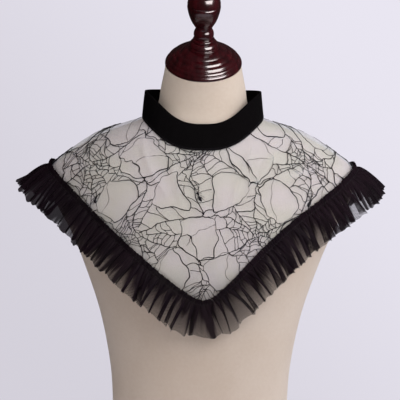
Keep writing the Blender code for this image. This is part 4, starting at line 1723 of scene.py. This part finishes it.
@dataclass
class NeckBand:
    """The stand-up band of doubled cloth, lapped and buttoned at the centre back."""

    height: float = 0.0345
    thickness: float = 0.0022
    seam: float = 0.0005  # from the lace up to the band's foot
    lean_side: float = 0.0035  # how far the top leans in at the sides
    lean_front: float = 0.0150  # and in front
    lap: float = 0.022  # how far one end lies over the other
    lap_lift: float = 0.0029  # how far out it lies there
    lap_run: float = 0.035  # and over what length it gets there
    steps: int = 420
    corner: float = 0.00105  # rounding of the folded edges
    ripple: float = 0.00030  # how far the cloth wavers between its seams
    stitch_inset: float = 0.0032  # from the band's foot to its row of stitches
    end_inset: float = 0.0030  # and from the upper end
    stitch_side: float = 1.12  # stitches stand this share of half the thickness out
    seam_inset: float = 0.0006  # the foot's seam lies this far inside the band's outer face
    seam_lift: float = 0.0007  # and this far off the lace

    def point(self, turn: Array, share: Array, outset: Array, side: Array) -> Array:
        """Points of the band.

        Args:
            turn: angles round the neck.
            share: 0 at the band's foot and 1 at its top edge.
            outset: how far the band's middle is moved outwards.
            side: -1 on its inner face and 1 on its outer.

        Returns:
            Points, with x, y and z on the last axis.
        """
        turn, share, outset, side = np.broadcast_arrays(turn, share, outset, side)
        lift = LACE_OUTSIDE + self.seam
        half = side * self.thickness / 2
        foot = BODY.cloth(turn, OUTLINE.neckline(turn, outset + half), lift)
        middle = BODY.cloth(turn, OUTLINE.neckline(turn, outset), lift)
        outward = unit(middle * np.array([1.0, 1.0, 0.0]))
        front = np.maximum(-np.sin(turn), 0.0) ** 2
        lean = self.lean_side + (self.lean_front - self.lean_side) * front
        rise = np.sqrt(self.height ** 2 - lean ** 2)
        top = middle + outward * (half - lean)[..., None]
        top[..., 2] += rise
        return foot + (top - foot) * share[..., None]

    def outset(self, turn: Array) -> Array:
        """How far out the upper end lies over the lower one."""
        lap, run = (size / OUTLINE.half_width for size in (self.lap, self.lap_run))
        last = pi / 2 + lap / 2
        share = np.clip((turn - (last - lap - run)) / run, 0, 1)
        return self.lap_lift * share * share * (3 - 2 * share)

    def section(self) -> Array:
        """The band's cross-section, as (share of height, share of half thickness).

        Returns:
            An array (count, 2).
        """
        half, round_share = self.thickness / 2, self.corner
        low, high, out = round_share, self.height - round_share, half - round_share
        corners = []
        for up, across, start in ((high, out, 0), (high, -out, 1), (low, -out, 2), (low, out, 3)):
            for angle in np.linspace(start * pi / 2, (start + 1) * pi / 2, 5):
                corners.append((up + round_share * sin(angle), across + round_share * cos(angle)))
        loop = np.array(corners)
        outer = np.stack([np.linspace(loop[-1, 0], loop[0, 0], 12)[1:-1], np.full(10, half)], axis=1)
        inner = np.stack([np.linspace(loop[9, 0], loop[10, 0], 12)[1:-1], np.full(10, -half)], axis=1)
        loop = np.concatenate([loop[:10], inner, loop[10:], outer])
        return loop / np.array([self.height, half])

    def build(self) -> "list[Piece]":
        """Make the band, its row of stitches and the seam along its foot.

        Returns:
            The three pieces.
        """
        lap = self.lap / OUTLINE.half_width
        turns = np.linspace(pi / 2 - lap / 2 - TAU, pi / 2 + lap / 2, self.steps + 1)
        loop = self.section()
        turn, share = np.meshgrid(turns, loop[:, 0], indexing="ij")
        side = np.broadcast_to(loop[:, 1], turn.shape)
        points = self.point(turn, share, self.outset(turn), side)
        middle = self.point(turns, 0.5, self.outset(turns), 0.0)
        runs = run_lengths(middle)
        across = unit(middle * np.array([1.0, 1.0, 0.0]))
        rng = np.random.default_rng(4)
        wave = sum(rng.uniform(0.3, 1.0) * np.sin(TAU * runs / length + rng.uniform(0, TAU))
                   for length in (0.013, 0.021, 0.037, 0.060)) / 2
        puff = np.sin(pi * np.clip(share, 0, 1)) * (wave * self.ripple)[:, None]
        points = points + across[:, None, :] * puff[..., None]
        around = run_lengths(np.concatenate([loop, loop[:1]]) * np.array([self.height, self.thickness / 2]))
        flat = np.stack(np.broadcast_arrays(runs[:, None], around[None, :]), axis=-1)
        mesh = grid_mesh("band_cloth", points, flat, closed=True, ends=True)
        face_out_closed(mesh)
        mesh.set_sharp_from_angle(angle=radians(60))
        piece = link("band_cloth", mesh, BandCloth().build())
        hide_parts("neck_band")
        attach(piece, "root")
        thread, tree = Thread("band_thread").build(), StitchTree()
        extra = [self.stitches(tree, thread, turns), self.foot_seam(tree, thread, turns)]
        return [piece, *extra]

    def stitches(self, tree: StitchTree, thread: Material, turns: Array) -> Piece:
        """A row of topstitching just above the band's foot, and one down its upper end.

        Args:
            tree: makes the stitches.
            thread: their material.
            turns: angles along the band.

        Returns:
            The piece.
        """
        share = self.stitch_inset / self.height
        line = self.point(turns, share, self.outset(turns), self.stitch_side)
        end = np.linspace(share, 1 - share, 20)
        close = np.full(20, turns[-1] - self.end_inset / OUTLINE.half_width)
        down = self.point(close, end, self.outset(close), self.stitch_side)
        lines = [Strand(line), Strand(down)]
        piece = tree.grow(guide_lines("topstitch_guide", lines), "band_topstitch", thread,
                          Pitch=0.0031, Length=0.0023, Thread=0.00022)
        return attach(piece, "root")

    def foot_seam(self, tree: StitchTree, thread: Material, turns: Array) -> Piece:
        """Slanting overcast stitches that join the band's foot to the lace.

        Args:
            tree: makes the stitches.
            thread: their material.
            turns: angles along the band.

        Returns:
            The piece.
        """
        height = OUTLINE.neckline(turns, self.outset(turns) + self.thickness / 2 - self.seam_inset)
        line = BODY.cloth(turns, height, LACE_OUTSIDE + self.seam_lift)
        guide = guide_lines("seam_guide", [Strand(line)])
        piece = tree.grow(guide, "band_foot_seam", thread, Pitch=0.0021, Length=0.0030, Thread=0.00030,
                          Skew=1.05)
        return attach(piece, "root")


@dataclass
class BandButton:
    """The small four-hole button on the band's upper end, sewn on with thread."""

    band: NeckBand
    radius: float = 0.0055
    thickness: float = 0.0026
    stand_off: float = 0.0006
    hole_radius: float = 0.00055
    hole_place: float = 0.0014
    thread_radius: float = 0.00034
    thread_sink: float = 0.0004  # the thread's ends lie this far under the button
    thread_arch: float = 0.0006  # it bends this high over the button's middle,
    thread_step: float = 0.0005  # and the second stitch over the first one
    middle_rise: float = 0.74  # height of the sunk middle, as a share of the thickness
    profile: "tuple[Pair, ...]" = (  # shares of the radius and of the thickness
        (0.00, 0.00), (0.80, 0.00), (0.90, 0.08), (0.98, 0.24), (1.00, 0.42), (0.98, 0.72),
        (0.93, 0.92), (0.85, 1.00), (0.76, 0.98), (0.66, 0.82), (0.58, 0.74), (0.00, 0.72))

    def stand(self) -> Matrix:
        """The button's own frame on the band's outer face.

        Returns:
            The matrix that carries the button to its place.
        """
        low, centre, high = (Vector(self.band.point(pi / 2, share, self.band.lap_lift, 0.0))
                             for share in (0.0, 0.5, 1.0))
        out = (high - low).cross(Vector((1, 0, 0))).normalized()
        if out.y < 0:
            out.negate()
        place = centre + out * (self.band.thickness / 2 + self.stand_off)
        return Matrix.Translation(place) @ out.to_track_quat("Z", "Y").to_matrix().to_4x4()

    def build(self) -> "list[Piece]":
        """Make the button with its holes, and the two stitches through them.

        Returns:
            The button and its thread.
        """
        line = np.array([(out * self.radius, 0.0, up * self.thickness) for out, up in self.profile])
        plastic = ButtonPlastic().build()
        guide = guide_lines("button_profile", [Strand(line)])
        piece = LatheTree().grow(guide, "sewn_button", plastic, Sides=48)
        face_out_closed(piece.data)
        places = [Vector((x * self.hole_place, y * self.hole_place, 0)) for x in (-1, 1) for y in (-1, 1)]
        self.drill(piece, places)
        piece.data.transform(self.stand())
        piece.data.set_sharp_from_angle(angle=radians(50))
        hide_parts("band_button")
        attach(piece, "root")
        top = Vector((0, 0, self.thickness * self.middle_rise))
        sink = Vector((0, 0, self.thread_sink))
        strands = []
        for a, b in ((0, 3), (1, 2)):
            start, end = places[a], places[b]
            arch = Vector((0, 0, self.thread_arch + self.thread_step * a))
            path = [start - sink, start + top, (start + end) / 2 + top + arch, end + top, end - sink]
            arc = smooth_path([self.stand() @ p for p in path], 6)
            strands.append(Strand(arc, self.thread_radius))
        thread = ThreadTree().grow(guide_lines("button_thread_guide", strands), "button_thread",
                                   Thread("button_thread").build(), Sides=8)
        drop(thread.data, "radius_m")
        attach(thread, "root")
        return [piece, thread]

    def drill(self, piece: Piece, places: "list[Vector]") -> None:
        """Cut the four holes through the button.

        Args:
            piece: the button, before it is put in its place.
            places: the holes' middles.
        """
        bm = bmesh.new()
        for place in places:
            shift = Matrix.Translation(place + Vector((0, 0, self.thickness / 2)))
            bmesh.ops.create_cone(bm, cap_ends=True, segments=14, radius1=self.hole_radius,
                                  radius2=self.hole_radius, depth=self.thickness * 3, matrix=shift)
        mesh = bpy.data.meshes.new("drill")
        bm.to_mesh(mesh)
        bm.free()
        cutter = link("drill", mesh)
        cut = piece.modifiers.new("holes", "BOOLEAN")
        cut.object, cut.operation = cutter, "DIFFERENCE"
        graph = bpy.context.evaluated_depsgraph_get()
        holed = bpy.data.meshes.new_from_object(piece.evaluated_get(graph))
        piece.modifiers.remove(cut)
        piece.data = holed
        bpy.data.objects.remove(cutter, do_unlink=True)


# --- ruffle

@dataclass(frozen=True)
class RuffleRow:
    """One line along the ruffle: how far it lies from the inner edge, and its folds."""

    reach: float
    lift: float  # off the lace
    fold: float  # half depth of the large pleats
    lean: float  # how far they fall to the side
    fine: float  # the same two for the fine gathers
    fine_lean: float
    tooth: float  # how uneven the line itself is


@dataclass(frozen=True)
class Strip:
    """One cut strip of the ruffle, between two turns of the body."""

    name: str
    node: str
    first: float
    last: float
    columns: int


@dataclass
class Ruffle:
    """Three gathered strips of tulle sewn round the hem, with a narrow heading."""

    heading: float = 0.0080  # from the inner edge to the gathering line
    flare: float = 0.80  # how much the strip turns out where the body slopes
    droop: float = 3.0  # and how much it falls, for each metre from the inner edge
    pleats: int = 102
    fine_pleats: int = 410
    fullness: float = 2.3  # length of the strips against the hem
    end_gap: float = 0.0005
    row_steps: "tuple[float, ...]" = (0, .8, 1.8, 3, 4.2, 5.4, 6.6, 7.6, 8.4, 9.4, 10.6, 12, 14, 16.5, 19, 22,
                                      25, 28, 31, 34, 37, 40, 43, 46, 49, 52, 55)
    profile: "tuple[RuffleRow, ...]" = (
        RuffleRow(0.0000, 0.0042, 0.0003, 0.0005, 0.0009, 0.0008, 0.0005),
        RuffleRow(0.0045, 0.0030, 0.0003, 0.0005, 0.0007, 0.0008, 0.0002),
        RuffleRow(0.0080, 0.0022, 0.0000, 0.0000, 0.0005, 0.0006, 0.0000),
        RuffleRow(0.0130, 0.0036, 0.0016, 0.0022, 0.0010, 0.0009, 0.0000),
        RuffleRow(0.0220, 0.0054, 0.0032, 0.0036, 0.0010, 0.0007, 0.0000),
        RuffleRow(0.0340, 0.0075, 0.0046, 0.0043, 0.0006, 0.0005, 0.0010),
        RuffleRow(0.0550, 0.0104, 0.0066, 0.0047, 0.0003, 0.0003, 0.0070),
    )
    widths: "tuple[Pair, ...]" = (  # hem height, share of the full width there
        (0.380, 0.90), (0.420, 0.84), (0.470, 0.84), (0.515, 0.88), (0.535, 0.95), (0.560, 0.96))
    side_bunching: float = 0.42  # the net is bunched tighter up the sides by this much,
    side_start: float = 0.395  # from this height over the next rise,
    side_rise: float = 0.08
    right_bunching: float = 0.10  # and more on the wearer's right than on the left
    least_bunching: float = 0.05
    middle_reach: float = 0.05  # right and left meet within this distance of the middle
    loosening: float = 0.046  # the gathers have let go this far from the gathering line
    stitch_lift: float = 0.0012  # gathering stitches stand this far off the strip
    stitch_end: float = 0.002  # and end this far before its ends
    hem_steps: int = 1440
    tangent_step: float = 0.003
    path: "dict[str, Array]" = field(default_factory=dict)

    def measure(self) -> None:
        """Work out the hem's path round the body: turns, points and runs."""
        turns = np.linspace(-pi, pi, self.hem_steps + 1)
        points = BODY.cloth(turns, OUTLINE.hem(turns), LACE_OUTSIDE)
        self.path = {"turns": turns, "points": points, "runs": run_lengths(points)}

    def foot(self, run: Array) -> Array:
        """Points of the closed hem at run lengths."""
        runs, points = self.path["runs"], self.path["points"]
        return np.stack([np.interp(run % runs[-1], runs, points[:, i]) for i in range(3)], axis=-1)

    def ends(self, strip: Strip) -> "list[float]":
        """The lengths along the hem where a strip starts and ends."""
        return [float(np.interp(turn, self.path["turns"], self.path["runs"]))
                for turn in (strip.first, strip.last)]

    def column(self, name: str, reach: Array) -> Array:
        """One column of the profile at every reach."""
        values = [getattr(row, name) for row in self.profile]
        return smooth_between([row.reach for row in self.profile], values, reach)

    def base(self, run: Array, reach: Array) -> "tuple[Array, Array]":
        """The strip before it is pleated: its points, and the hem's point under each.

        Args:
            run: lengths along the hem.
            reach: distances from the inner edge.

        Returns:
            Both as arrays (reaches, runs, 3).
        """
        runs, turns = self.path["runs"], self.path["turns"]
        turn = np.interp(run % runs[-1], runs, turns)
        foot = self.foot(run)
        along = unit(self.foot(run + self.tangent_step) - self.foot(run - self.tangent_step))
        normal = BODY.normal(turn, OUTLINE.hem(turn))
        outward = unit(np.cross(along, normal))
        outward *= np.where(outward[:, 2:] > 0, -1.0, 1.0)
        out = outward + normal * (self.flare * np.maximum(normal[:, 2:], 0.0))
        fall = np.stack([0 * reach, 0 * reach, -self.droop * reach], axis=-1)
        aim = unit(out[None] + fall[:, None])
        lift = self.column("lift", reach)[:, None, None]
        width = smooth_between(*zip(*self.widths), foot[:, 2])[None, :, None]
        below = np.maximum(reach - self.heading, 0.0)[:, None, None]
        shift = (aim * (reach[:, None, None] - below * (1 - width)) - outward[None] * self.heading
                 + normal[None] * lift)
        points = foot[None] + shift
        clear, level = BODY.clearance(points)
        least = LACE_OUTSIDE + lift[..., 0]
        points += level * np.maximum(least - clear, 0.0)[..., None]
        return points, np.broadcast_to(foot[None], points.shape)

    def strip(self, strip: Strip, tree: GatherTree, material: Material) -> Piece:
        """Lay one strip smooth along the hem, then gather it.

        Args:
            strip: the strip.
            tree: gathers it.
            material: its material.

        Returns:
            The piece.
        """
        start, end = self.ends(strip)
        run = np.linspace(start + self.end_gap, end - self.end_gap, strip.columns + 1)
        reach = np.array(self.row_steps) / 1000
        points, foot = self.base(run, reach)
        along, down, out_of = grid_directions(points)
        flat = np.stack(np.broadcast_arrays(run[None, :] * self.fullness, reach[:, None]), axis=-1)
        mesh = grid_mesh(strip.name, points, flat)
        centre = np.array([0.0, 0.0, 0.5])
        if ((points - centre) * out_of).sum() < 0:
            out_of = -out_of
        count = points.shape[:2]
        values = {name: np.broadcast_to(self.column(name, reach)[:, None], count)
                  for name in ("fold", "lean", "fine", "fine_lean", "tooth")}
        values["share"] = np.broadcast_to(run / self.path["runs"][-1], count)
        spread = (np.maximum(reach - self.heading, 0) / 0.044) ** 1.4
        values["spread"] = np.broadcast_to(spread[:, None], count)
        values["bunching"] = self.bunching(run, reach)
        values |= {"foot": foot, "along": along, "down": down, "out_of": out_of}
        for name, numbers in values.items():
            store(mesh, name, numbers.reshape(-1, 3 if numbers.ndim == 3 else 1))
        piece = tree.grow(link(strip.name + "_flat", mesh), strip.name, material, Pleats=self.pleats,
                          Fine_pleats=self.fine_pleats)
        drop(piece.data, *[name for name in values if name != "bunching"])
        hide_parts(strip.node)
        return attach(piece, "root")

    def bunching(self, run: Array, reach: Array) -> Array:
        """How tightly the net is bunched: most at the gathering line and up the sides.

        Args:
            run: lengths along the hem.
            reach: distances from the inner edge.

        Returns:
            An array (reaches, runs).
        """
        above = np.clip((self.heading - reach) / self.heading, 0, 1)
        below = np.clip((reach - self.heading) / self.loosening, 0, 1)
        x, y, z = self.foot(run).T
        right = np.clip(-x / self.middle_reach, -1, 1) * (y < 0) * self.right_bunching
        side = (self.side_bunching + right) * np.clip((z - self.side_start) / self.side_rise, 0, 1)
        side += self.least_bunching + right
        return (1 - 0.25 * above - below ** 0.8)[:, None] + side[None, :]

    def build(self) -> "list[Piece]":
        """Make the strips and the stitches along their gathering line.

        Returns:
            Strip and stitches of each of the three.
        """
        self.measure()
        tulle, thread, tree = TULLE_NET.build(), Thread("gather_thread").build(), GatherTree()
        stitches, pieces = StitchTree(), []
        strips = (
            Strip("ruffle_front_tulle", "ruffle_front", -pi, 0.0, 2600),
            Strip("ruffle_back_left_tulle", "ruffle_back_left", 0.0, pi / 2, 1180),
            Strip("ruffle_back_right_tulle", "ruffle_back_right", pi / 2, pi, 1180),
        )
        for strip in strips:
            piece = self.strip(strip, tree, tulle)
            start, end = self.ends(strip)
            run = np.linspace(start + self.stitch_end, end - self.stitch_end, 400)
            line, _ = self.base(run, np.array([self.heading]))
            _, level = BODY.clearance(line[0])
            guide = guide_lines(strip.name + "_sewing", [Strand(line[0] + level * self.stitch_lift)])
            name = strip.name.replace("_tulle", "_gather_stitches")
            sewing = stitches.grow(guide, name, thread, Pitch=0.0042, Length=0.0030, Thread=0.00026)
            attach(sewing, "root")
            rests = strip.node.replace("ruffle", "yoke") + "_net"
            pieces += [piece, sewing]
        return pieces


# --- studio

class LightUse(Enum):
    """What a light is for."""

    SURFACES = "surfaces"  # cloth, jersey and floor
    SHINE = "shine"  # only what glossy surfaces mirror


@dataclass
class Studio:
    """Camera, soft light, pale backdrop and floor."""

    target: "tuple[float, float, float]" = (-0.0026, -0.03, 0.50)
    distance: float = 2.0
    elevation: float = radians(6.5)
    frame_width: float = 0.52  # what the picture spans at the target
    roll: float = radians(0.6)
    floor_radius: float = 0.85
    # the backdrop's colour in painted shade at the lower left, and its lit colour at the upper right
    backdrop_shaded_left: Colour = (0.655, 0.632, 0.702)
    backdrop_lit_right: Colour = (0.815, 0.790, 0.880)
    fill_left: Colour = (0.070, 0.060, 0.056)
    fill_right: Colour = (0.190, 0.180, 0.190)
    mirrored_dimming: float = 0.75  # how much darker the room is in reflections

    def camera(self) -> None:
        """Place the camera where the object's picture was taken from."""
        forward = Vector((0, cos(self.elevation), -sin(self.elevation)))
        level = Vector((1, 0, 0))
        right = level * cos(self.roll) + level.cross(forward) * sin(self.roll)
        up = right.cross(forward)
        data = bpy.data.cameras.new("camera")
        data.sensor_width = 36.0
        data.lens = data.sensor_width * self.distance / self.frame_width
        data.clip_end = 20.0
        camera = bpy.data.objects.new("camera", data)
        turn = Matrix((right, up, -forward)).transposed().to_4x4()
        camera.matrix_world = Matrix.Translation(Vector(self.target) - forward * self.distance) @ turn
        bpy.context.scene.collection.objects.link(camera)
        bpy.context.scene.camera = camera

    def light(self, name: str, place: "tuple[float, float, float]", size: Pair, power: float,
              colour: Colour, use: LightUse = LightUse.SURFACES) -> None:
        """A soft light that looks at the object.

        Args:
            name: its name.
            place: its place.
            size: its width and height.
            power: its power in watts.
            colour: its colour.
            use: what it lights.
        """
        data = bpy.data.lights.new(name, "AREA")
        data.shape, data.size, data.size_y = "RECTANGLE", *size
        data.energy, data.color = power, colour
        lamp = bpy.data.objects.new(name, data)
        aim = Vector((0, 0, 0.52)) - Vector(place)
        lamp.matrix_world = Matrix.Translation(place) @ aim.to_track_quat("-Z", "Y").to_matrix().to_4x4()
        lamp.visible_glossy = use is LightUse.SHINE
        lamp.visible_diffuse = use is LightUse.SURFACES
        bpy.context.scene.collection.objects.link(lamp)

    def world(self) -> None:
        """Pale backdrop for the camera, with painted shade that darkens it towards the lower left; for light,
        a room that is brighter on the right.
        """
        world = bpy.data.worlds.new("studio")
        bpy.context.scene.world = world
        world.use_nodes = True
        g = Graph(world.node_tree)
        world.node_tree.nodes.clear()
        x, y, z = g.parts(g.out(g.node("ShaderNodeTexCoord"), "Generated"))
        fill = g.between(x - 0.25 * y + 0.25 * z, -0.9, 1.0)
        # painted shade: the backdrop that the camera sees darkens towards the lower left
        back = g.between(x + 0.9 * z, -0.33, 0.14)
        backdrop = g.blend(back, self.backdrop_shaded_left, self.backdrop_lit_right)
        seen = g.node("ShaderNodeBackground", {"Color": backdrop})
        lit = g.node("ShaderNodeBackground", {"Color": g.blend(fill, self.fill_left, self.fill_right)})
        rays = g.node("ShaderNodeLightPath")
        g.feed(lit.inputs["Strength"], 1.0 - g.out(rays, "Is Glossy Ray") * self.mirrored_dimming)
        camera = g.out(rays, "Is Camera Ray")
        both = g.node("ShaderNodeMixShader", [camera, g.out(lit), g.out(seen)])
        g.node("ShaderNodeOutputWorld", {"Surface": g.out(both)})

    def floor(self) -> None:
        """A round pale floor that fades out at its rim."""
        bm = bmesh.new()
        bmesh.ops.create_circle(bm, cap_ends=True, segments=96, radius=self.floor_radius)
        mesh = bpy.data.meshes.new("floor")
        bm.to_mesh(mesh)
        bm.free()
        g = ShaderGraph("pale_floor")
        place = g.object_place()
        reach = g.out(g.node("ShaderNodeVectorMath", [place], operation="LENGTH"), "Value")
        cloud = g.noise(place, 3.0, 2.0)
        g.drive("Base Color", g.blend(cloud, (0.70, 0.68, 0.74), (0.75, 0.73, 0.79)))
        g.drive("Alpha", g.between(reach, self.floor_radius * 0.55, self.floor_radius * 0.98, 1.0, 0.0))
        g.fix(Roughness=0.9, Specular_IOR_Level=0.1)
        link("floor", mesh, g.material)

    def build(self) -> None:
        """Set up the whole studio."""
        scene = bpy.context.scene
        scene.view_settings.view_transform = "Standard"
        scene.cycles.transparent_max_bounces = 40
        self.camera()
        self.world()
        self.floor()
        self.light("key_light", (0.62, -0.90, 1.10), (0.85, 0.60), 9.5, (1.0, 0.985, 0.98))
        self.light("window_light", (1.60, -0.20, 1.12), (2.00, 1.40), 18.5, (0.97, 0.97, 1.0))
        self.light("left_light", (-1.35, -1.95, 0.60), (2.80, 1.80), 15.0, (1.0, 0.96, 0.94))
        self.light("top_light", (-0.75, -0.65, 1.75), (1.20, 0.80), 5.0, (1.0, 0.99, 0.99))
        self.light("shine_light", (0.62, -0.90, 1.06), (0.92, 0.80), 28.0, (1.0, 0.92, 0.92), LightUse.SHINE)
        self.light("back_light", (0.35, 1.95, 1.00), (2.40, 1.80), 15.0, (0.96, 0.97, 1.0))


# --- main


def main() -> None:
    """Build the studio and every piece, and report each one."""
    logging.basicConfig(level=logging.INFO, format="%(name)s: %(message)s")
    Studio().build()
    form, band = DressForm(), NeckBand()
    made = [form.build(), *TurnedCap(form).build(), *LaceYoke().build(), *band.build(),
            *BandButton(band).build(), *Ruffle().build()]
    for piece in made:
        piece.data.calc_loop_triangles()
        LOG.info("%s: %d triangles", piece.name, len(piece.data.loop_triangles))


if __name__ == "__main__":
    main()
